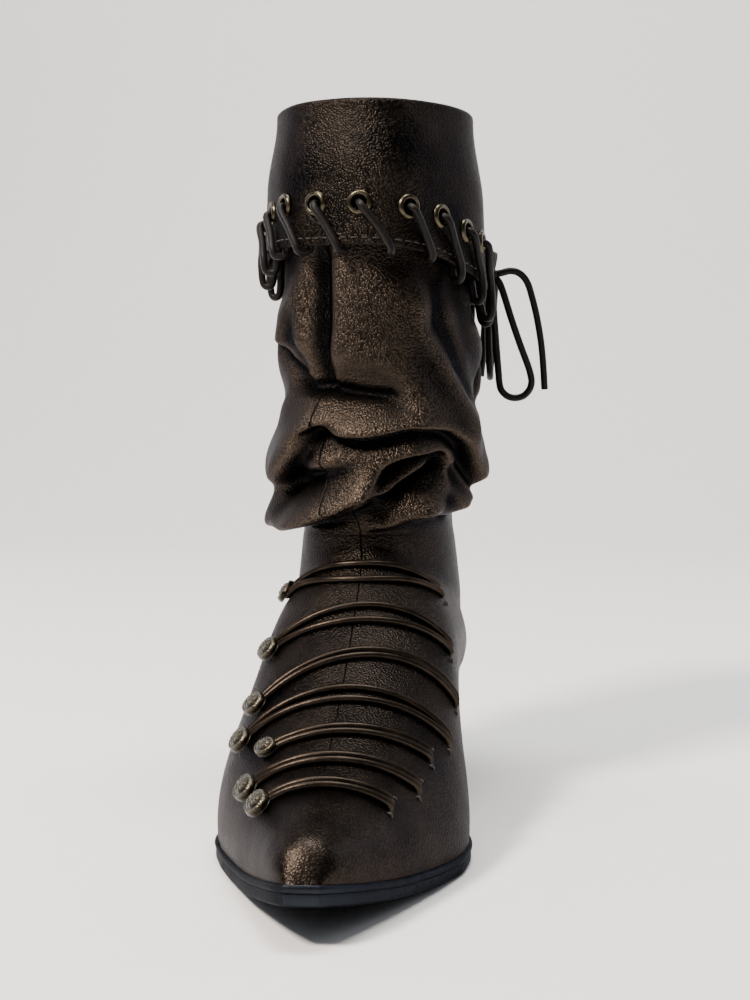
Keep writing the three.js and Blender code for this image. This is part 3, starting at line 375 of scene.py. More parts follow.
# The creases between and across the folds, placed in the same way.
creases = [
    # out, reach on the line's left and on its right (in millimetres), line
    # Panels under the cuff's edge, either side of the seam.
    (2.6, 5, 5, [(-0.116, 0.68), (-0.113, 0.53), (-0.103, 0.37)]),
    (1.8, 4, 4, [(-0.125, 0.6), (-0.15, 0.5), (-0.185, 0.46)]),
    (-4.5, 3.2, 2.2, [(-0.062, 0.69), (-0.066, 0.55), (-0.075, 0.42), (-0.082, 0.35)]),
    (2.2, 9, 9, [(0.035, 0.66), (0.04, 0.52), (0.052, 0.41), (0.06, 0.34)]),
    (2.4, 1.6, 8, [
        (0.07, 0.66), (0.072, 0.6), (0.074, 0.49), (0.112, 0.4), (0.143, 0.33), (0.16, 0.29),
    ]),
    (-4.5, 7, 2.2, [(0.095, 0.64), (0.1, 0.5), (0.135, 0.4), (0.165, 0.34)]),
    # The pocket under the panels and the swell below it.
    (-6.5, 2, 4.5, [
        (-0.19, 0.45), (-0.145, 0.375), (-0.11, 0.345), (-0.067, 0.34), (0, 0.325), (0.035, 0.318),
    ]),
    (2, 3, 7, [(-0.16, 0.31), (-0.12, 0.3), (-0.058, 0.305), (0, 0.3), (0.05, 0.295)]),
    # The hollow under the great swell, and the fold down its outer side.
    (-7, 2.2, 5, [
        (-0.06, 0.255), (-0.03, 0.235), (0.004, 0.235), (0.054, 0.262), (0.1, 0.25), (0.129, 0.225),
        (0.17, 0.17), (0.2, 0.13),
    ]),
    (-5, 5, 2.4, [(-0.055, 0.262), (-0.08, 0.2), (-0.11, 0.15), (-0.14, 0.11)]),
    (3, 6, 6, [(-0.07, 0.27), (-0.129, 0.2), (-0.18, 0.12), (-0.21, 0.07)]),
    # The curled edge over the eye-shaped pocket, and the pocket's own small roll.
    (3.5, 5, 1.4, [
        (0, 0.13), (0.022, 0.178), (0.054, 0.215), (0.085, 0.22), (0.115, 0.2), (0.15, 0.155), (0.19, 0.1),
    ]),
    (-5, 1.3, 2.2, [(0.012, 0.13), (0.035, 0.165), (0.06, 0.19), (0.09, 0.2), (0.108, 0.185)]),
    (3.2, 1.9, 1.9, [(0.02, 0.115), (0.045, 0.14), (0.07, 0.16), (0.09, 0.175)]),
    (-6, 1.8, 1.8, [(0, 0.1), (0.03, 0.1), (0.055, 0.115), (0.08, 0.14), (0.1, 0.165)]),
    (3.8, 4, 2.6, [
        (0.117, 0.175), (0.112, 0.14), (0.095, 0.105), (0.06, 0.07), (0.03, 0.035), (0.01, 0.01),
    ]),
    (2.5, 4, 3, [(0.125, 0.12), (0.15, 0.1), (0.17, 0.09)]),
    (-3, 2.6, 3, [(0.075, 0.045), (0.12, 0.035), (0.165, 0.035)]),
    # The roll that sags over the instep on the outer side, and the valleys above and under it.
    (6.5, 6, 4, [
        (-0.34, 0.06), (-0.26, 0.05), (-0.19, 0.045), (-0.12, 0.048), (-0.071, 0.07), (-0.035, 0.1),
        (0, 0.13),
    ]),
    (-4, 3, 2.6, [(-0.13, 0.1), (-0.1, 0.115), (-0.06, 0.135)]),
    (-4.5, 1.8, 4, [(-0.12, 0.01), (-0.06, 0.03), (-0.018, 0.055), (0.013, 0.08)]),
    # The same sagging carried round the sides and the back.
    (-5, 2, 5, [
        (0.24, 0.12), (0.33, 0.1), (0.42, 0.13), (0.5, 0.165), (0.58, 0.145), (0.68, 0.11), (0.74, 0.12),
    ]),
    (-4, 3, 4, [(0.3, 0.3), (0.38, 0.29), (0.46, 0.32), (0.53, 0.33)]),
    (-3.5, 3, 4, [(0.55, 0.3), (0.62, 0.28), (0.7, 0.25)]),
    (-3.5, 4, 2.4, [(0.24, 0.6), (0.27, 0.48), (0.25, 0.36)]),
    (-3.5, 2.4, 4, [(0.72, 0.58), (0.7, 0.46), (0.73, 0.35)]),
    (-3, 4, 2.4, [(0.4, 0.62), (0.43, 0.52), (0.42, 0.44)]),
    (-3, 2.4, 4, [(0.58, 0.6), (0.56, 0.5), (0.59, 0.44)]),
    (2.4, 3, 3, [(0.3, 0.24), (0.38, 0.21), (0.45, 0.24)]),
    (2.4, 3, 3, [(0.57, 0.23), (0.65, 0.2), (0.72, 0.22)]),
    (-3, 2, 3, [(0.28, 0.04), (0.37, 0.03), (0.45, 0.045)]),
    (-3, 2, 3, [(0.56, 0.045), (0.64, 0.03), (0.73, 0.035)]),
]
cuff_hem = np.array([
    # around, dip
    (-0.5, 1), (-0.32, 0.6), (-0.2, 0.3), (-0.1, 0), (0, 0.02), (0.08, 0.2), (0.16, 0.65), (0.25, 1),
    (0.38, 1.1), (0.5, 1),
])
CUFF_DROP = 50
CUFF_DIP = 14


def cuff_edge(around):
    """The height of the cuff's lower edge."""
    around = around - np.round(around)
    return RIM_HEIGHT - CUFF_DROP - CUFF_DIP * follow(cuff_hem, 1, around)


def line_push(line, out, left, right, around, up):
    """How far a ridge or trough of that height and reach, in mm, moves places on the shaft."""
    nearest = np.full(np.broadcast(around, up).shape, 1e9)
    over = np.zeros_like(nearest)
    past = np.zeros(nearest.shape, bool)
    for k in range(len(line) - 1):
        (a0, u0), (a1, u1) = line[k], line[k + 1]
        turn = np.round((a0 + a1) / 2 - around)
        dx, dz = (a1 - a0) * GIRTH, (u1 - u0) * SHAFT_RISE
        px, pz = (around + turn - a0) * GIRTH, (up - u0) * SHAFT_RISE
        t = np.clip((px * dx + pz * dz) / (dx * dx + dz * dz), 0, 1)
        away = np.hypot(px - t * dx, pz - t * dz)
        closer = away < nearest
        ends = (t == 0) if k == 0 else np.zeros(t.shape, bool)
        ends = ends | ((t == 1) if k == len(line) - 2 else False)
        nearest = np.where(closer, away, nearest)
        over = np.where(closer, (dx * pz - dz * px) / np.hypot(dx, dz), over)
        past = np.where(closer, ends, past)
    to_left = 0.5 + 0.5 * np.tanh(over / (0.35 * min(left, right)))
    reach = right + (left - right) * to_left
    reach = np.where(past, np.minimum(reach, 0.8 * FOLD_DEPTH), reach)
    return out * np.exp(-((nearest / reach) ** 2))


def fold_push(around, up):
    """How far folds and creases together move places on the shaft, fading out under the cuff."""
    total = sum(
        line_push(line, out * FOLD_DEPTH, above * FOLD_DEPTH, below * FOLD_DEPTH, around, up)
        for out, above, below, line in folds
    )
    push = FOLD_DEPTH * np.tanh(total / FOLD_DEPTH) * ease(0, 0.045, up)
    small = sum(line_push(line, out, left, right, around, up) for out, left, right, line in creases)
    push += small * ease(0, 0.03, up)
    hem = (cuff_edge(around) - ANKLE_HEIGHT) / SHAFT_RISE
    ridge_fade = 1 - ease(hem - 0.12, hem - 0.02, up)
    trough_fade = 1 - ease(hem - 0.04, hem + 0.06, up)
    return push * np.where(push > 0, ridge_fade, trough_fade)


def grid_outward(rows, closed_from):
    """Outward directions over the rows, which close round the back from one row up."""
    rows = np.asarray(rows)
    right = np.roll(rows, -1, 1)
    left = np.roll(rows, 1, 1)
    left[:, 0], right[:, -1] = rows[:, 0], rows[:, -1]
    left[closed_from:, 0] = rows[closed_from:, -2]
    right[closed_from:, -1] = rows[closed_from:, 1]
    higher = np.concatenate([rows[1:], rows[-1:]])
    lower = np.concatenate([rows[:1], rows[:-1]])
    outward = np.cross(right - left, higher - lower)
    outward /= np.linalg.norm(outward, axis=2, keepdims=True) + 1e-12
    back = outward[closed_from:, 0] + outward[closed_from:, -1]
    back /= np.linalg.norm(back, axis=1, keepdims=True)
    outward[closed_from:, 0] = outward[closed_from:, -1] = back
    return outward


def level_outward(row):
    """Level outward directions round one closed row of the shaft."""
    along = np.roll(row, -1, 0) - np.roll(row, 1, 0)
    along[0] = along[-1] = row[1] - row[-2]
    outward = np.stack([along[:, 1], -along[:, 0], np.zeros(len(row))], 1)
    return outward / np.linalg.norm(outward, axis=1, keepdims=True)


AROUND = np.arange(UPPER_COLUMNS + 1) / UPPER_COLUMNS - 0.5
low_rows, low_places = blend_rows([*foot_rows(), *(shaft_row(up) for up in (0.02, 0.05, 0.09))], 2.2)
ankle_place = 1 + len(foot_sections) + len(heel_sections) - 1
low_rows = [row for row, place in zip(low_rows, low_places) if place <= ankle_place]
closed_from = sum(place < len(foot_sections) for place in low_places)
shaft_ups = np.concatenate([np.linspace(0, 0.72, 181)[1:], np.linspace(0.72, 1, 17)[1:]])
shaft_push = fold_push(AROUND[None, :-1], shaft_ups[:, None])
for _ in range(SOFTENING):
    beside = (np.roll(shaft_push, 1, 1) + np.roll(shaft_push, -1, 1)) / 4 + shaft_push / 2
    padded = np.concatenate([np.zeros((1, UPPER_COLUMNS)), beside, beside[-1:]])
    shaft_push = (padded[:-2] + 2 * padded[1:-1] + padded[2:]) / 4
shaft_push = np.concatenate([shaft_push, shaft_push[:, :1]], 1)
folded = []
for up, push in zip(shaft_ups, shaft_push):
    row = shaft_row(up)
    row = row + level_outward(row) * push[:, None]
    row[:, 2] -= FOLD_DROOP * np.maximum(0, push)
    folded.append(row)
upper_rows = np.array([*low_rows, *folded])
upper_outward = grid_outward(upper_rows, closed_from)


def boot_sheet(name, rows, closed_from, material, turned=False):
    """A sheet over rows of points, closed round the back from one row up."""
    count, size = rows.shape[:2]
    index = np.arange(count * size).reshape(count, size)
    index[closed_from:, -1] = index[closed_from:, 0]
    quads = np.stack([index[:-1, :-1], index[:-1, 1:], index[1:, 1:], index[1:, :-1]], 2).reshape(-1, 4)
    if turned:
        quads = quads[:, ::-1]
    return mesh_piece(name, rows, quads.tolist(), material)


# Cowhide with a pebble pressed in and bronze foil rubbed over it: a dim metal sheen on the pebbles' tops,
# near black between them, and worn lighter in random patches. Light and shade are also painted on the folds:
# the foil is lighter on their ridges and darker in their troughs. The pebbles are 0.8 mm wide, as in the
# photo.
leather, hide = surface(
    "bronze_foiled_cowhide", Metallic=0.94, Specular_Tint=(0.46, 0.46, 0.48, 1)
)
skin_place = put(hide, "TexCoord").outputs["Object"]
pebble = put(
    hide, "TexVoronoi", {"Vector": skin_place, "Scale": spaced(0.8), "Smoothness": 0.4}, feature="SMOOTH_F1"
)
grain = put(hide, "TexNoise", {"Vector": skin_place, "Scale": spaced(0.6), "Detail": 3.0, "Distortion": 0.6})
wear = put(hide, "TexNoise", {"Vector": skin_place, "Scale": spaced(22), "Detail": 5.0, "Roughness": 0.6})
tops = put(hide, "MapRange", {
    "Value": pebble.outputs["Distance"], "From Min": 0.1, "From Max": 0.65, "To Min": 1.0, "To Max": 0.0,
})
ridge = put(hide, "Attribute", attribute_name="ridge").outputs["Fac"]
# Painted light and shade: the ridge mark makes the foil lighter on the folds' ridges and darker in their
# troughs, added to the random wear.
fold_light_and_wear = put(hide, "Math", {0: ridge, 1: 0.8, 2: wear.outputs["Fac"]}, operation="MULTIPLY_ADD")
fold_light_and_wear_share = put(hide, "MapRange", {"Value": fold_light_and_wear.outputs[0], "From Min": 0.32, "From Max": 1.25})
foil_fold_lit_and_worn = put(
    hide, "Mix", {0: fold_light_and_wear_share.outputs[0], 6: linear("141312"), 7: linear("50463d")}, data_type="RGBA"
)
sunk = put(hide, "Math", {0: tops.outputs[0], 1: 0.6, 2: 0.4}, operation="MULTIPLY_ADD")
hide_tint = put(hide, "Mix", {0: sunk.outputs[0], 6: linear("080707"), 7: foil_fold_lit_and_worn.outputs[2]}, data_type="RGBA")
seam_gap = put(hide, "Attribute", attribute_name="seam_gap").outputs["Fac"]
seam_off = put(hide, "Math", {0: seam_gap}, operation="ABSOLUTE")
seam_lip = put(hide, "MapRange", {"Value": seam_off.outputs[0], "From Min": 0.1, "From Max": 0.55})
seamed_tint = put(
    hide, "Mix", {0: seam_lip.outputs[0], 6: linear("070605"), 7: hide_tint.outputs[2]}, data_type="RGBA"
)
wire(hide, "Base Color", seamed_tint.outputs[2])
hide_gloss = put(hide, "MapRange", {
    "Value": wear.outputs["Fac"], "From Min": 0.3, "From Max": 0.7, "To Min": 0.29, "To Max": 0.42,
})
wire(hide, "Roughness", hide_gloss.outputs[0])
fine_relief = put(
    hide, "Math", {0: grain.outputs["Fac"], 1: 0.7, 2: tops.outputs[0]}, operation="MULTIPLY_ADD"
)
relief = put(
    hide, "Math", {0: seam_lip.outputs[0], 1: 2.0, 2: fine_relief.outputs[0]}, operation="MULTIPLY_ADD"
)
slack = put(hide, "Attribute", attribute_name="slack").outputs["Fac"]
grain_depth = put(hide, "MapRange", {"Value": slack, "To Min": 0.24, "To Max": 0.72})
bump = put(
    hide, "Bump", {"Height": relief.outputs[0], "Strength": grain_depth.outputs[0], "Distance": 0.3 * MM}
)
wire(hide, "Normal", bump.outputs["Normal"])


def mark(piece, name, values):
    """Gives each point of a piece a value that its material reads."""
    attribute = piece.data.attributes.new(name, "FLOAT", "POINT")
    attribute.data.foreach_set("value", np.asarray(values, np.float32).ravel())


def ridge_marks(rows, outward, reach, depth):
    """How far each point stands out from those round it, from -1 in a trough to 1 on a ridge."""
    above = np.concatenate([rows[reach:], np.repeat(rows[-1:], reach, 0)])
    below = np.concatenate([np.repeat(rows[:1], reach, 0), rows[:-reach]])
    round_rows = (np.roll(rows, reach, 1) + np.roll(rows, -reach, 1) + above + below) / 4
    out = ((rows - round_rows) * outward).sum(2) / depth
    return np.clip(out, -1, 1)


upper = boot_sheet("upper_leather", upper_rows, closed_from, leather)
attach(upper, "root")
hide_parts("upper")
# Painted light and shade on the folds: each point's ridge mark is higher where it stands out and lower in
# troughs; the foot rows get a flat 0.12.
fold_light_marks = ridge_marks(upper_rows, upper_outward, 6, 1.8)
fold_light_marks[: len(low_rows)] = 0.12
mark(upper, "ridge", fold_light_marks)
toe_pull = ease(0.5, 0.93, (HEEL_OVERHANG - upper_rows[..., 1]) / BOOT_LENGTH)
mark(upper, "slack", 1 - toe_pull)
seam_line = np.array([
    # up, around
    (-1, 0), (0, -0.006), (0.08, -0.03), (0.1, -0.04), (0.2, -0.05), (0.264, -0.058), (0.29, -0.06),
    (0.36, -0.08), (0.51, -0.07), (0.66, -0.064), (1, -0.06),
])
row_up = np.concatenate([np.linspace(-1, 0, len(low_rows)), shaft_ups])
seam_side = (AROUND - follow(seam_line, 1, row_up)[:, None]) * GIRTH
mark(upper, "seam_gap", np.where(np.abs(seam_side) < 60, seam_side, 60))

# Lining
# Smooth pigskin glued inside the leather from the insole to the rim. It shows only from above.

# Pigskin, shaved and dyed through: dull, mottled brown with open pores a millimetre apart.
lining_leather, pigskin = surface("brown_pigskin_lining", Roughness=0.7)
skin = put(pigskin, "TexCoord").outputs["Object"]
pores = put(pigskin, "TexVoronoi", {"Vector": skin, "Scale": spaced(1.1)})
mottle = put(pigskin, "TexNoise", {"Vector": skin, "Scale": spaced(17), "Detail": 4.0})
two_toned(
    pigskin, mottle.outputs["Fac"], "2a211c", "3b3029", relief=(pores.outputs["Distance"], 0.2, 0.3)
)

# Every third row of the foot and every second one of the leg is enough inside.
lining_pick = np.unique([
    *range(0, closed_from, 3), closed_from, *range(closed_from + 2, len(upper_rows), 2), len(upper_rows) - 1,
])
lining_rows = upper_rows[lining_pick, ::2] - WALL * upper_outward[lining_pick, ::2]
seat_height = upper_rows[lining_pick, :1, 2]
is_open = (lining_pick < closed_from)[:, None]
lining_rows[..., 2] = np.where(is_open, np.maximum(lining_rows[..., 2], seat_height), lining_rows[..., 2])
lining_closed = int(np.searchsorted(lining_pick, closed_from))
lining = boot_sheet("upper_lining", lining_rows, lining_closed, lining_leather, turned=True)
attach(lining, "root")

# Insole, midsole and outsole
# A leather-covered insole inside, and under the upper a thin rubber lip and a thin rubber sole, cut
# to the last's outline, glued, and inked and burnished black along the edge.
SOLE_SEAM = 0.3
OUTSOLE = 4
MIDSOLE = 1.8
MIDSOLE_SEAT = OUTSOLE + SOLE_SEAM


def sole_outline(margin, stations):
    """The bottom's outline moved outwards: down the lateral side and back up the medial one."""
    lateral = np.stack([-outline_x(stations, "lateral"), along_y(stations)], 1)
    medial = np.stack([outline_x(stations, "medial"), along_y(stations)], 1)[:0:-1]
    ring = np.concatenate([lateral, medial])
    ahead = np.roll(ring, -1, 0) - ring
    ahead /= np.linalg.norm(ahead, axis=1, keepdims=True)
    along = ahead + np.roll(ahead, 1, 0)
    along /= np.linalg.norm(along, axis=1, keepdims=True)
    reach = margin / np.maximum(0.6, (along * ahead).sum(1))
    return ring + np.stack([along[:, 1], -along[:, 0]], 1) * reach[:, None]


def lay(ring, height):
    """A ring laid along the tread, at a height over it."""
    return np.column_stack([ring, tread_z((HEEL_OVERHANG - ring[:, 1]) / BOOT_LENGTH) + height])


def ring_walls(rings, size):
    """The faces between rings of that many points."""
    walls = []
    for k in range(rings - 1):
        for i in range(size):
            j = (i + 1) % size
            walls.append((k * size + i, k * size + j, (k + 1) * size + j, (k + 1) * size + i))
    return walls


def ladder(base, size, rungs, turned):
    """Faces straight across a ring, from its lateral points to the medial ones."""
    faces = []
    for k in range(rungs - 1):
        corners = [k, k + 1, size - k - 1, (size - k) % size]
        corners = [base + c for c in dict.fromkeys(corners)]
        faces.append(tuple(corners[::-1] if turned else corners))
    return faces


def sole_layer(name, profile, stations, material):
    """A layer of the sole, from rings of (margin, height), from its underside up."""
    rings = [lay(sole_outline(margin, stations), height) for margin, height in profile]
    size = len(rings[0])
    faces = ring_walls(len(rings), size)
    faces += ladder(0, size, len(stations), True)
    faces += ladder((len(rings) - 1) * size, size, len(stations), False)
    piece = mesh_piece(name, np.concatenate(rings), faces, material)
    piece.data.set_sharp_from_angle(angle=math.radians(38))
    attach(piece, "root")
    return piece


edge_stations = np.concatenate([
    [0, 0.0008, 0.002, 0.0035], np.linspace(0.006, 0.02, 6), np.linspace(0.024, 0.09, 12),
    np.linspace(0.1, 0.96, 90), np.linspace(0.97, 1, 6),
])

# Moulded rubber, sanded at the edge and inked with a waxy, metallic black: a dull dark shine with scuffs. It
# mirrors as weakly as in the photo, so the shine is set as a dark metal's with a dim edge.
sole_rubber, rubber = surface("inked_sole_rubber", Metallic=0.9, Specular_Tint=(0.3, 0.31, 0.33, 1))
tread = put(rubber, "TexCoord").outputs["Object"]
buffing = put(rubber, "TexNoise", {"Vector": tread, "Scale": spaced(1.4), "Detail": 4.0})
scuffs = put(rubber, "TexNoise", {"Vector": tread, "Scale": spaced(9), "Detail": 5.0, "Roughness": 0.7})
two_toned(
    rubber, scuffs.outputs["Fac"], "15171b", "2b2f36", gloss=(0.34, 0.55),
    relief=(buffing.outputs["Fac"], 0.15, 0.2),
)

outsole = sole_layer("outsole_edge_inked", [
    (-0.6, 0), (-0.1, 0.2), (0.4, 0.55), (0.6, 1), (0.6, 3.5), (0.5, 3.85), (0.2, 4),
], edge_stations, sole_rubber)
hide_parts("outsole")

midsole = sole_layer("midsole_lip", [
    (0.55, MIDSOLE_SEAT - 0.3), (0.9, MIDSOLE_SEAT + 0.1), (1, MIDSOLE_SEAT + 0.5),
    (1, MIDSOLE_SEAT + MIDSOLE - 0.5), (0.8, MIDSOLE_SEAT + MIDSOLE - 0.1),
    (0.3, MIDSOLE_SEAT + MIDSOLE + 0.28),
], edge_stations, sole_rubber)
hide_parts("midsole")

insole = sole_layer("insole_cover", [
    (-3.8, UPPER_SEAT), (-3.8, UPPER_SEAT + 1.9), (-4.2, UPPER_SEAT + 2.4), (-5, UPPER_SEAT + 2.5),
], edge_stations[edge_stations < 0.975], lining_leather)
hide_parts("insole")

# Heel
# A low stacked heel, turned to a taper, covered with black lacquer and nailed from inside, with a
# rubber top lift glued under it. The photo hides it behind the forefoot.
HEEL_BREAST = 34
HEEL_BASE_WIDTH = 45
HEEL_BASE_LENGTH = 44
LIFT = 6
heel_taper = np.array([
    # down, shrink
    (0, 0), (0.3, 0.42), (0.65, 0.82), (1, 1),
])
breast_along = (HEEL_OVERHANG + HEEL_BREAST) / BOOT_LENGTH
seat_stations = np.append(edge_stations[edge_stations < breast_along - 0.004], breast_along)
heel_seat = sole_outline(-0.6, seat_stations)
turn_at = len(seat_stations)
across = np.linspace(0, 1, 10)[1:-1, None]
breast = heel_seat[turn_at - 1] + (heel_seat[turn_at] - heel_seat[turn_at - 1]) * across
breast[:, 1] += 2.2 * np.sin(math.pi * across[:, 0])
heel_seat = np.concatenate([heel_seat[:turn_at], breast, heel_seat[turn_at:]])
seat_width = np.ptp(heel_seat[:, 0])
heel_base = np.column_stack([
    heel_seat[:, 0] * HEEL_BASE_WIDTH / seat_width,
    ((heel_seat[:, 1] + HEEL_BREAST) / (HEEL_OVERHANG + HEEL_BREAST) - 0.5) * HEEL_BASE_LENGTH,
])
seat_z = tread_z((HEEL_OVERHANG - heel_seat[:, 1]) / BOOT_LENGTH)


def heel_ring(down):
    ring = heel_seat + (heel_base - heel_seat) * float(follow(heel_taper, 1, down))
    return np.column_stack([ring, seat_z + (LIFT - seat_z) * down])


def capped(name, rings, material):
    """A closed body through rings, its two ends filled."""
    size = len(rings[0])
    faces = ring_walls(len(rings), size)
    faces.append(tuple(range(size))[::-1])
    faces.append(tuple(range((len(rings) - 1) * size, len(rings) * size)))
    piece = mesh_piece(name, np.concatenate(rings), faces, material)
    piece.data.set_sharp_from_angle(angle=math.radians(38))
    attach(piece, "root")
    return piece


# Stacked leather under black edge lacquer: the same weak dark shine, smeared by the brush, with the lifts'
# joints just showing 5.2 mm apart.
edge_lacquer, lacquer = surface("black_heel_lacquer", Metallic=0.85, Specular_Tint=(0.4, 0.4, 0.42, 1))
block = put(lacquer, "TexCoord").outputs["Object"]
height = put(lacquer, "SeparateXYZ", {"Vector": block}).outputs["Z"]
lift_lines = put(lacquer, "Math", {0: height, 1: 2 * math.pi * spaced(5.2)}, operation="MULTIPLY")
lift_wave = put(lacquer, "Math", {0: lift_lines.outputs[0]}, operation="SINE")
lift_gap = put(lacquer, "MapRange", {
    "Value": lift_wave.outputs[0], "From Min": 0.93, "From Max": 1.0, "To Min": 1.0, "To Max": 0.0,
})
smear = put(lacquer, "TexNoise", {"Vector": block, "Scale": spaced(11), "Detail": 4.0})
two_toned(
    lacquer, smear.outputs["Fac"], "17181b", "2b2d31", gloss=(0.25, 0.42),
    relief=(lift_gap.outputs[0], 0.25, 0.3),
)

heel = capped("heel_block", [heel_ring(down) for down in np.linspace(1, 0, 22)], edge_lacquer)
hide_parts("heel")


def lift_ring(inset, z):
    shrunk = heel_base * (1 - inset / 22)
    return np.column_stack([shrunk, np.full(len(shrunk), z)])


top_lift = capped("top_lift_rubber", [
    lift_ring(0.7, 0), lift_ring(0.2, 0.2), lift_ring(0, 0.7), lift_ring(0, LIFT - 0.4),
    lift_ring(0.25, LIFT - 0.05),
], sole_rubber)
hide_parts("heel_cap")

# Cords across the vamp
# Round cords rolled from the boot's own foiled leather. Each pair is knotted behind its concho on the
# outer side, goes over the vamp and down through a stitched slit on the inner side.
CORD_RADIUS = 1.25
vamp_cords = [
    # outer, middle, inner (places along), lateral, medial (shares over the vamp), apart (cord radii), concho
    (0.838, 0.836, 0.823, 0.262, 0.752, 1.25, 1), (0.776, 0.778, 0.753, 0.235, 0.778, 1.25, 1),
    (0.722, 0.712, 0.68, 0.32, 0.755, 1.25, 0.8), (0.65, 0.638, 0.611, 0.245, 0.785, 2.6, 1),
    (0.594, 0.555, 0.507, 0.29, 0.782, 1.25, 1), (0.482, 0.482, 0.435, 0.305, 0.74, 3.2, 1),
    (0.332, 0.408, 0.332, 0.3, 0.69, 3, 1),
]


def on_vamp(y, across):
    """A point of the vamp in the plane across the boot at y, and its outward direction."""
    place = across * UPPER_COLUMNS
    j = min(UPPER_COLUMNS - 1, int(place))
    found = []
    for column in (j, j + 1):
        line = upper_rows[1:closed_from, column]
        spot = [np.interp(y, line[:, 1], line[:, k]) for k in range(3)]
        out = [np.interp(y, line[:, 1], upper_outward[1:closed_from, column, k]) for k in range(3)]
        found.append(np.array([spot, out]))
    point, outward = found[0] + (found[1] - found[0]) * (place - j)
    return point, outward / np.linalg.norm(outward)


def round_path(points, per_span):
    """A smooth path through points."""
    points = np.array(points, float)
    padded = np.concatenate([[2 * points[0] - points[1]], points, [2 * points[-1] - points[-2]]])
    path = []
    for k in range(len(points) - 1):
        a, b, c, d = padded[k : k + 4]
        for t in np.arange(per_span) / per_span:
            path.append(between(t, b, c, (c - a) / 2, (d - b) / 2))
    return np.array([*path, points[-1]])


def cord_piece(name, path, radius, material):
    """A round cord along a path in millimetres."""
    curve = bpy.data.curves.new(name, "CURVE")
    curve.dimensions = "3D"
    curve.bevel_depth = radius * MM
    curve.bevel_resolution = 4
    curve.use_fill_caps = True
    line = curve.splines.new("POLY")
    line.points.add(len(path) - 1)
    line.points.foreach_set("co", np.column_stack([path * MM, np.ones(len(path))]).ravel())
    line.use_smooth = True
    curve.materials.append(material)
    piece = bpy.data.objects.new(name, curve)
    bpy.context.scene.collection.objects.link(piece)
    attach(piece, "root")
    return piece


# The same foiled hide rolled round a core and glued: smoother and a little shinier than the boot, with the
# foil rubbed in patches.
rolled, rolled_hide = surface(
    "rolled_bronze_cord", Metallic=0.92, Specular_IOR_Level=0.4, Specular_Tint=(0.4, 0.38, 0.36, 1)
)
roll = put(rolled_hide, "TexCoord").outputs["Object"]
rub = put(rolled_hide, "TexNoise", {"Vector": roll, "Scale": spaced(6), "Detail": 4.0})
roll_grain = put(rolled_hide, "TexVoronoi", {"Vector": roll, "Scale": spaced(0.6)}, feature="SMOOTH_F1")
two_toned(
    rolled_hide, rub.outputs["Fac"], "141210", "3e362f", gloss=(0.28, 0.45),
    relief=(roll_grain.outputs["Distance"], 0.25, 0.2),
)

# Linen thread, twisted and waxed: dull, with light and dark plies.
thread, linen = surface("waxed_linen_thread", Roughness=0.6)
twist = put(linen, "TexCoord").outputs["Object"]
fibre = put(linen, "TexNoise", {"Vector": twist, "Scale": spaced(0.4), "Detail": 2.0})
two_toned(linen, fibre.outputs["Fac"], "14110e", "2d2822")

# Painted shade for the slits: a near-black sheet with a faint mottle, laid over each slit's opening where
# the shade inside the hole would be.
slit_dark, slit_shade = surface("slit_painted_shade", Roughness=0.85)
slit_shade_mottle = put(slit_shade, "TexNoise", {"Scale": spaced(0.6)})
two_toned(slit_shade, slit_shade_mottle.outputs["Fac"], "060505", "15110e")


STITCH_RINGS = 6
STITCH_SIDES = 6


def stitch_points(start, end, outward, radius):
    """Points and faces of one stitch: a low arch of thread between two places on the leather."""
    start, end, outward = np.array(start), np.array(end), np.array(outward)
    along = end - start
    side = np.cross(outward, along)
    side /= np.linalg.norm(side) + 1e-12
    points = []
    for share in np.linspace(0, 1, STITCH_RINGS):
        arch = math.sin(math.pi * share)
        centre = start + along * share + outward * (radius * (1.5 * arch - 0.4))
        for turn in np.arange(STITCH_SIDES) * 2 * math.pi / STITCH_SIDES:
            spoke = side * math.cos(turn) + outward * math.sin(turn)
            points.append(centre + radius * (0.55 + 0.45 * arch) * spoke)
    faces = ring_walls(STITCH_RINGS, STITCH_SIDES)
    faces.append(tuple(range(STITCH_SIDES))[::-1])
    faces.append(tuple(range(len(points) - STITCH_SIDES, len(points))))
    return points, faces


def join_parts(name, parts, material):
    """One piece from the points and faces of several parts."""
    points, faces = [], []
    for part_points, part_faces in parts:
        base = len(points)
        points += part_points
        faces += [tuple(base + i for i in face) for face in part_faces]
    piece = mesh_piece(name, points, faces, material)
    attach(piece, "root")
    return piece


def on_vamp_cord(row, share):
    """A place on a cord's way over the vamp, its outward direction, and the direction beside it."""
    outer, middle, inner, lateral, medial = row[:5]

    def spot(t):
        along = outer * (2 * t - 1) * (t - 1) + 4 * middle * t * (1 - t) + inner * t * (2 * t - 1)
        return on_vamp(along_y(along), lateral + (medial - lateral) * t)

    point, outward = spot(share)
    beside = np.cross(outward, spot(share + 0.02)[0] - spot(share - 0.02)[0])
    return point, outward, beside / np.linalg.norm(beside)


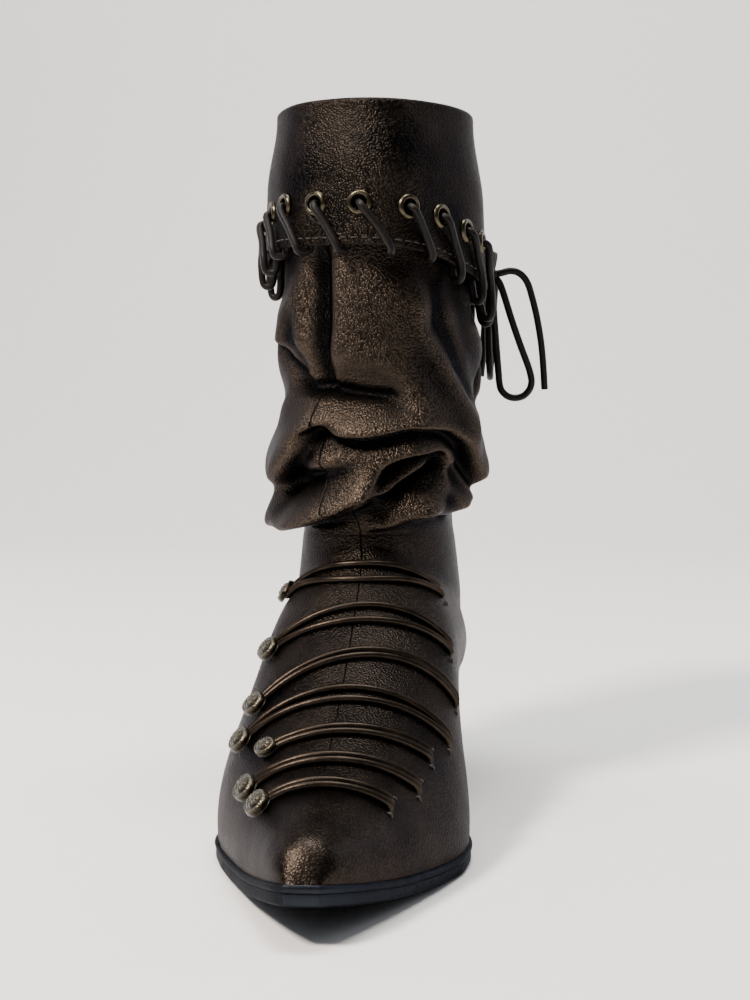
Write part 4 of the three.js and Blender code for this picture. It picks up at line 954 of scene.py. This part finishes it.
slit_parts = []
slit_stitches = []
concho_spots = []
for number, row in enumerate(vamp_cords, 1):
    apart, size = row[5:]
    for sign, side_name in ((-1, "front"), (1, "back")):
        run = []
        for share in np.linspace(0, 1, 40):
            point, outward, beside = on_vamp_cord(row, share)
            gap = (1.05 + (apart - 1.05) * math.sin(math.pi * share)) * CORD_RADIUS
            sink = 2.6 * float(ease(0.965, 1, share))
            run.append(point + beside * sign * gap + outward * (0.95 * CORD_RADIUS - sink))
        cord = cord_piece(f"vamp_cord_{number}_{side_name}", np.array(run), CORD_RADIUS, rolled)
        if sign < 0:
            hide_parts(f"vamp_lace_{number}")
    point, outward, beside = on_vamp_cord(row, 1)
    edge = np.cross(beside, outward)
    # A thin near-black sheet over the slit's opening: painted shade for the hole the cords go down through.
    cut = []
    for offset in np.linspace(-1, 1, 13):
        width = 0.75 * math.sqrt(max(0.02, 1 - offset * offset))
        middle = point + beside * 4.2 * offset + outward * 0.15
        cut += [middle - edge * width, middle + edge * width]
    slit_parts.append((cut, [(2 * k, 2 * k + 1, 2 * k + 3, 2 * k + 2) for k in range(12)]))
    for sign in (-1, 1):
        start = point + beside * sign * 4.1 - edge * 1.1
        end = point + beside * sign * 4.7 + edge * 1.1
        slit_stitches.append(stitch_points(start, end, outward, 0.38))
    concho_spots.append((*on_vamp(along_y(row[0]), row[3]), size))

slit_shade_piece = join_parts("vamp_slit_shade", slit_parts, slit_dark)
slit_threads = join_parts("vamp_slit_stitches", slit_stitches, thread)

# Conchos
# Small cast ovals in antique silver with a rope border and a scrolled middle, darkened and rubbed
# back, each riveted through the leather over its cords' ends.

# Cast silver plate, blackened and buffed: bright on the raised work and nearly black in the ground.
old_silver, silver = surface("antique_silver", Metallic=1.0)
depth_map = put(silver, "Attribute", attribute_name="relief").outputs["Fac"]
two_toned(silver, depth_map, "0e0d0b", "6a6251")
silver_place = put(silver, "TexCoord").outputs["Object"]
tarnish = put(silver, "TexNoise", {"Vector": silver_place, "Scale": spaced(1.1), "Detail": 4.0})
silver_rough = put(silver, "MapRange", {"Value": tarnish.outputs["Fac"], "To Min": 0.22, "To Max": 0.55})
wire(silver, "Roughness", silver_rough.outputs[0])


def concho_relief(r, turn):
    """The ornament's height, 0 to 1, at a share of the way out and an angle round."""
    rope = math.exp(-((r - 0.86) / 0.075) ** 2) * (0.75 + 0.25 * math.cos(22 * turn + 9 * r))
    petals = math.exp(-((r - 0.42) / 0.2) ** 2) * (0.35 + 0.45 * math.cos(4 * turn + 5 * r) ** 2)
    boss = math.exp(-((r / 0.16) ** 2))
    return min(1, rope + petals + 0.8 * boss)


def fitting(name, material, place, turn_to, flat, faces):
    """A small metal fitting, laid on the leather at a place."""
    points = [list(Vector(place) + turn_to @ Vector(point)) for point in flat]
    piece = mesh_piece(name, points, [face[::-1] for face in faces], material)
    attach(piece, "root")
    return piece


def facing(outward, tilt=0.0):
    """A turn that takes +Z to a direction, with +X level and across."""
    across_way = Vector((-outward[1], outward[0], 0)).normalized()
    up_way = Vector(outward).cross(across_way)
    turn = Matrix((across_way, up_way, Vector(outward))).transposed()
    return turn @ Matrix.Rotation(tilt, 3, "Z")


CONCHO_SIDES = 72
HALF_CONCHO = (4.5, 6.5)
CONCHO_BACK = 0.96
CONCHO_FOOT = 1.2
CONCHO_EDGE = 2
CONCHO_LIP = 2.6
CONCHO_DOME = 1.5
CONCHO_RELIEF = 0.75
concho_turns = np.arange(CONCHO_SIDES) * 2 * math.pi / CONCHO_SIDES
concho_shares = np.linspace(0, 1, 26)
concho_faces = ring_walls(len(concho_shares) + 1, CONCHO_SIDES)
back_ring = len(concho_shares) * CONCHO_SIDES
concho_faces.append(tuple(range(back_ring, back_ring + CONCHO_SIDES))[::-1])
for number, (point, outward, size) in enumerate(concho_spots, 1):
    flat, relief_values = [], []
    for ring, r in enumerate([*concho_shares, CONCHO_BACK]):
        for turn in concho_turns:
            raised = concho_relief(r, turn)
            z = CONCHO_LIP + (CONCHO_DOME * (1 - r**2.4) + CONCHO_RELIEF * raised) * size
            if r == 1:
                z = CONCHO_EDGE
            if ring == len(concho_shares):
                raised, z = 0.2, CONCHO_FOOT
            x, y = HALF_CONCHO[0] * size * r * math.sin(turn), HALF_CONCHO[1] * size * r * math.cos(turn)
            flat.append((x, y, z))
            relief_values.append(raised)
    turn_to = facing(outward, math.pi / 2)
    concho = fitting(f"concho_cast_{number}", old_silver, point, turn_to, flat, concho_faces)
    mark(concho, "relief", relief_values)
    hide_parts(f"concho_{number}")

# Cuff
# The top of the shaft turned down outside, in the same leather: a folded rim above, and below a cut
# edge turned under and held by one row of stitches. It stands off the shaft, round the lace behind it.
CUFF_WALL = 1.8
CUFF_GAP = 4.3
plain_rows = np.array([shaft_row(up) for up in np.linspace(0, 1, 153)])
plain_outward = np.array([level_outward(row) for row in plain_rows])


def on_shaft(around, z):
    """Places on the plain shaft, and their level outward directions."""
    around, z = np.broadcast_arrays(np.asarray(around, float), np.asarray(z, float))
    column = (around - np.round(around) + 0.5) * UPPER_COLUMNS
    level = np.clip((z - ANKLE_HEIGHT) / SHAFT_RISE, 0, 1) * (len(plain_rows) - 1)
    j = np.clip(column.astype(int), 0, UPPER_COLUMNS - 1)
    i = np.clip(level.astype(int), 0, len(plain_rows) - 2)
    u, v = (column - j)[..., None], (level - i)[..., None]

    def among(grid):
        near = grid[i, j] * (1 - u) + grid[i, j + 1] * u
        far = grid[i + 1, j] * (1 - u) + grid[i + 1, j + 1] * u
        return near * (1 - v) + far * v

    return among(plain_rows), among(plain_outward)


cuff_swells = [
    # around, height, width
    (-0.22, 1.4, 0.06), (-0.105, 1.1, 0.028), (-0.042, -1.2, 0.022), (0.035, 1.1, 0.026),
    (0.1, -0.8, 0.03), (0.2, 1.6, 0.06),
]


def cuff_wave(around, down):
    """How unevenly the turned-down leather stands: flats and soft ridges down the cuff."""
    soft = sum(height * np.exp(-(((around - place) / width) ** 2)) for place, height, width in cuff_swells)
    rest = 0.5 * np.sin(2 * math.pi * (5 * around + 0.2)) * ease(0.25, 0.35, np.abs(around))
    return (soft + rest) * (0.45 + 0.55 * down)


def on_cuff(around, down, depth):
    """Places off the cuff's outer face, from the rim (0) to the edge (1)."""
    around, down, depth = np.broadcast_arrays(*(np.asarray(v, float) for v in (around, down, depth)))
    z = RIM_HEIGHT + (cuff_edge(around) - RIM_HEIGHT) * down
    point, outward = on_shaft(around, z)
    stand = SOLE_SEAM + (CUFF_GAP - SOLE_SEAM) * ease(0, 0.5, down) + CUFF_WALL
    wrapped = around - np.round(around)
    return point + outward * (stand + depth + cuff_wave(wrapped, np.clip(down, 0, 1)))[..., None]


CUFF_COLUMNS = 288
cuff_around = np.arange(CUFF_COLUMNS) / CUFF_COLUMNS - 0.5
cuff_rings = [on_cuff(cuff_around, down, -CUFF_WALL) for down in np.linspace(0.35, 0.985, 26)]
for angle in np.linspace(0, math.pi, 9)[1:-1]:
    edge_ring = on_cuff(cuff_around, 1, -0.9 - 0.9 * math.cos(angle))
    edge_ring[:, 2] += 0.9 - 0.9 * math.sin(angle)
    cuff_rings.append(edge_ring)
for down in np.linspace(0.985, 0.02, 44):
    cuff_rings.append(on_cuff(cuff_around, down, 0))
rim_point, rim_outward = on_shaft(cuff_around, RIM_HEIGHT)
rim_low = SOLE_SEAM + CUFF_WALL
for angle in np.linspace(0, math.pi, 11):
    out = (rim_low - WALL) / 2 + (rim_low + WALL) / 2 * math.cos(angle)
    wave = cuff_wave(cuff_around, 0) * (1 + math.cos(angle)) / 2
    ring = rim_point + rim_outward * (out + wave)[:, None]
    ring[:, 2] += 0.2 + 1.85 * math.sin(angle)
    cuff_rings.append(ring)
inside = rim_point - rim_outward * WALL
inside[:, 2] -= 2.5
cuff_rings.append(inside)

EYELETS = 20
EYELET_RISE = 15
EYELET_HOLE = 2.9
HOLE_REACH = 3.5
TIE_AROUND = 6.5 / EYELETS
eyelet_places = []
for k in range(EYELETS):
    around = TIE_AROUND + (k + 0.5) / EYELETS
    drop = RIM_HEIGHT - cuff_edge(around)
    down = 1 - EYELET_RISE / drop
    centre = on_cuff(around, down, 0)
    upright = on_cuff(around, down - 4 / drop, 0) - on_cuff(around, down + 4 / drop, 0)
    level = on_cuff(around + 0.012, down, 0) - on_cuff(around - 0.012, down, 0)
    outward = np.cross(level, upright)
    eyelet_places.append((around, centre, outward / np.linalg.norm(outward)))

cuff_points = np.concatenate(cuff_rings)
cuff_walls = np.array(ring_walls(len(cuff_rings), CUFF_COLUMNS))
middles = cuff_points[cuff_walls].mean(1)
kept = np.ones(len(cuff_walls), bool)
for around, centre, outward in eyelet_places:
    away = middles - centre
    along = away @ outward
    off_axis = np.linalg.norm(away - along[:, None] * outward, axis=1)
    kept &= ~((off_axis < EYELET_HOLE) & (np.abs(along) < HOLE_REACH))
cuff = mesh_piece("cuff_leather", cuff_points, cuff_walls[kept].tolist(), leather)
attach(cuff, "root")
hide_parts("cuff")
mark(cuff, "ridge", np.full(len(cuff_points), 0.05))
mark(cuff, "slack", np.full(len(cuff_points), 0.9))
cuff_seam = np.tile((cuff_around - 0.5 + np.round(0.5 - cuff_around)) * GIRTH, len(cuff_rings))
mark(cuff, "seam_gap", np.where(np.abs(cuff_seam) < 60, cuff_seam, 60))

HEM_STITCHES = 92
HEM_RISE = 2.8
STITCH_LENGTH = 2.3
hem_stitches = []
for k in range(HEM_STITCHES):
    middle = (k + 0.5) / HEM_STITCHES - 0.5
    down = 1 - HEM_RISE / (RIM_HEIGHT - cuff_edge(middle))
    ends = [on_cuff(middle + sign * STITCH_LENGTH / 2 / GIRTH, down, 0) for sign in (-1, 1)]
    outward = on_cuff(middle, down, 1) - on_cuff(middle, down, 0)
    hem_stitches.append(stitch_points(*ends, outward, 0.3))
hem = join_parts("cuff_hem_stitches", hem_stitches, thread)

# Eyelets
# Pressed brass eyelets with a rolled flange, browned and rubbed bright on the roll, set through the
# cuff's two thicknesses.

# Pressed brass, browned in a bath and tumbled: a soft dull gold with darker patches.
antique_brass, brass = surface("antique_brass", Metallic=1.0)
brass_place = put(brass, "TexCoord").outputs["Object"]
patina = put(brass, "TexNoise", {"Vector": brass_place, "Scale": spaced(1.4), "Detail": 4.0})
two_toned(brass, patina.outputs["Fac"], "1d1b17", "655e4c", gloss=(0.2, 0.45))

rolled_flange = [
    # radius, height
    (2.6, -1.9), (2.6, 0.1), (2.66, 0.55), (2.85, 0.9), (3.2, 1.12), (3.6, 1.1), (4.0, 0.88), (4.35, 0.5),
    (4.5, 0.12), (4.4, -0.05), (3.1, -0.05), (3.1, -1.9),
]
EYELET_SIDES = 40
eyelet_faces = ring_walls(len(rolled_flange), EYELET_SIDES)
inner_ring = (len(rolled_flange) - 1) * EYELET_SIDES
for k in range(EYELET_SIDES):
    after = (k + 1) % EYELET_SIDES
    eyelet_faces.append((inner_ring + k, inner_ring + after, after, k))
flat = [
    (radius * math.cos(turn), radius * math.sin(turn), height)
    for radius, height in rolled_flange
    for turn in np.arange(EYELET_SIDES) * 2 * math.pi / EYELET_SIDES
]
for number, (around, centre, outward) in enumerate(eyelet_places, 1):
    name = f"eyelet_brass_{number:02d}"
    eyelet = fitting(name, antique_brass, centre, facing(outward), flat, eyelet_faces)
    eyelet.data.set_sharp_from_angle(angle=math.radians(50))
    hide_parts(f"eyelet_{number:02d}")

# Cuff lace
# One long round waxed cord, whipped over the cuff's edge through every eyelet: out through an eyelet,
# down over the edge, and up behind it to the next. It is tight in front and hangs slack behind.
LACE_RADIUS = 1.4
LACE_SLACK = 9
PITCH = 1 / EYELETS
lace_looseness = np.array([
    # around, slack
    (-0.5, 0.8), (-0.3, 0.8), (-0.16, 0.3), (-0.1, 0), (0.08, 0), (0.16, 0.5), (0.26, 1), (0.5, 0.8),
])
# Round braided cotton, waxed: almost black, with a dull wax shine that the braid breaks up.
waxed_cord, wax = surface(
    "waxed_black_cord", Specular_IOR_Level=0.22, Specular_Tint=(0.6, 0.6, 0.62, 1)
)
cord_place = put(wax, "TexCoord").outputs["Object"]
braid = put(wax, "TexNoise", {"Vector": cord_place, "Scale": spaced(1.1), "Detail": 3.0})
cord_wear = put(wax, "TexNoise", {"Vector": cord_place, "Scale": spaced(8), "Detail": 4.0})
two_toned(
    wax, cord_wear.outputs["Fac"], "080707", "171412", gloss=(0.36, 0.55),
    relief=(braid.outputs["Fac"], 0.3, 0.3),
)


def lace_point(around, rise, depth):
    """A place on the lace, above the cuff's edge and off its outer face."""
    return on_cuff(around, 1 - rise / (RIM_HEIGHT - cuff_edge(around)), depth)


def off_eyelet(eyelet, share, rise, depth):
    """A place beside an eyelet: along the cuff in pitches, above it, and off the leather."""
    around, _, outward = eyelet
    return lace_point(around + share * PITCH, EYELET_RISE + rise, 0) + outward * depth


def lace_turn(around, drop):
    """The lace's way over the cuff's edge and up behind it, hanging a drop below."""
    low = -LACE_RADIUS - 0.3 - drop
    side = 0.03 * PITCH
    return [
        lace_point(around - 2 * side, 0.4, LACE_RADIUS + 0.15),
        lace_point(around - side, low, 0.5 * LACE_RADIUS),
        lace_point(around + side, low, -CUFF_WALL - 0.5 * LACE_RADIUS),
        lace_point(around + 2 * side, 0.4, -CUFF_WALL - LACE_RADIUS - 0.15),
    ]


LACE_BEHIND = -CUFF_WALL - 1.7
first_turn = TIE_AROUND + 0.36 * PITCH
lace_route = [lace_point(first_turn, 7, LACE_RADIUS + 0.3), *lace_turn(first_turn, 0)]
for number, eyelet in enumerate(eyelet_places, 1):
    around, centre, outward = eyelet
    lace_route += [
        off_eyelet(eyelet, -0.12, -5.2, LACE_BEHIND), off_eyelet(eyelet, -0.02, -0.9, LACE_BEHIND + 0.1),
        centre - outward * 0.9, off_eyelet(eyelet, 0.02, -0.4, 1.4), off_eyelet(eyelet, 0.1, -2.2, 2.5),
    ]
    if number < EYELETS:
        turn_place = around + 0.62 * PITCH
        slack = LACE_SLACK * float(follow(lace_looseness, 1, turn_place - np.round(turn_place)))
        lace_route.append(lace_point(around + 0.34 * PITCH, 6.9, LACE_RADIUS + 0.35))
        lace_route += lace_turn(turn_place, slack)
    else:
        lace_route.append(lace_point(TIE_AROUND - 0.36 * PITCH, 9, LACE_RADIUS + 0.5))
cuff_lace = cord_piece("cuff_lace_cord", round_path(lace_route, 6), LACE_RADIUS, waxed_cord)
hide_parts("cuff_lace")

# Bow
# The same cord tied behind the inner side: a knot, two hanging loops and two loose ends.
KNOT = np.array([41.028, 13.811, 194.898])
KNOT_OUT = np.array([0.966, 0.257, 0])
KNOT_BACK = np.array([-0.257, 0.966, 0])
KNOT_CORD = 1.25
KNOT_SIZE = 0.86
DOWN = np.array([0, 0, -1])
turns = np.linspace(0, 2 * math.pi, 73)[:, None]
knot_back = np.sin(turns) + 2 * np.sin(2 * turns)
knot_down = 2 * np.cos(2 * turns) - np.cos(turns)
knot_out = -1.1 * np.sin(3 * turns)
knot_path = KNOT + KNOT_SIZE * (knot_back * KNOT_BACK + knot_down * DOWN + knot_out * KNOT_OUT)
knot = cord_piece("bow_knot_tied", knot_path, KNOT_CORD, waxed_cord)
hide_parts("bow_knot")

# Points of the free cords from the knot's middle: outwards, backwards along the cuff, and down.
bow = {
    "bow_loop_1": [
        (3.3, -0.9, 2.8), (5.2, -0.9, 7.5), (8.4, -0.4, 17), (12.2, 0.6, 27), (15.6, 1.8, 35),
        (17, 2.4, 39), (17.6, 2.9, 42.2), (16.8, 3.4, 45.3), (14.5, 4, 47.7), (11.3, 4.6, 48.5),
        (8.2, 5, 47.7), (5.8, 5.2, 45.3), (5, 5.3, 42.2), (4.7, 5.2, 39), (4.2, 5, 34), (3.4, 4.5, 26),
        (2.4, 3.2, 17.5), (1.4, 1.6, 10), (0.4, 0.4, 4.4),
    ],
    "bow_end_1": [
        (4, -1.8, -0.7), (7.6, -2.7, -1.5), (11.2, -3.2, -0.4), (14.2, -3, 3), (16.4, -2.4, 9),
        (18.6, -1.6, 17), (20.4, -0.8, 26), (21.6, 0.1, 35), (22.5, 1, 45),
    ],
    "bow_loop_2": [
        (2, 3.75, -0.9), (3.6, 7.6, -0.8), (4.7, 11.4, 1.2), (5.1, 14.6, 5.6), (5.2, 17, 12.5),
        (5.2, 19, 20.5), (5.1, 20.2, 27), (5, 20.5, 31), (4.9, 20.5, 34), (4.5, 19.7, 37.2),
        (3.9, 17.4, 39.5), (3.2, 14.2, 40.3), (2.5, 11, 39.5), (1.8, 8.7, 37.2), (1.4, 7.9, 34),
        (1.3, 7.9, 31), (1.1, 8, 26), (1, 7.8, 19), (0.9, 6.8, 12), (0.8, 5.5, 6.8), (0.44, 3.5, 2.64),
    ],
    "bow_end_2": [
        (1.3, 2.2, -3.5), (2.5, 4.9, -6.6), (3.5, 8.6, -8.2), (4, 12.6, -7.3), (4, 16, -3.8),
        (3.7, 19, 2), (3.3, 22, 10), (3, 24.5, 20), (3, 26.5, 30), (2.5, 28.2, 40),
    ],
}
for name, points in bow.items():
    # The strands' ends are run on into the knot.
    into_knot = [tuple(0.4 * v for v in points[k]) for k in (0, -1)]
    points = [into_knot[0], *points, *(into_knot[1:] if "loop" in name else [])]
    route = [KNOT + out * KNOT_OUT + back * KNOT_BACK + down * DOWN for out, back, down in points]
    path = round_path(route, 5)
    strand = cord_piece(f"{name}_cord", path, LACE_RADIUS, waxed_cord)
    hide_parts(name)
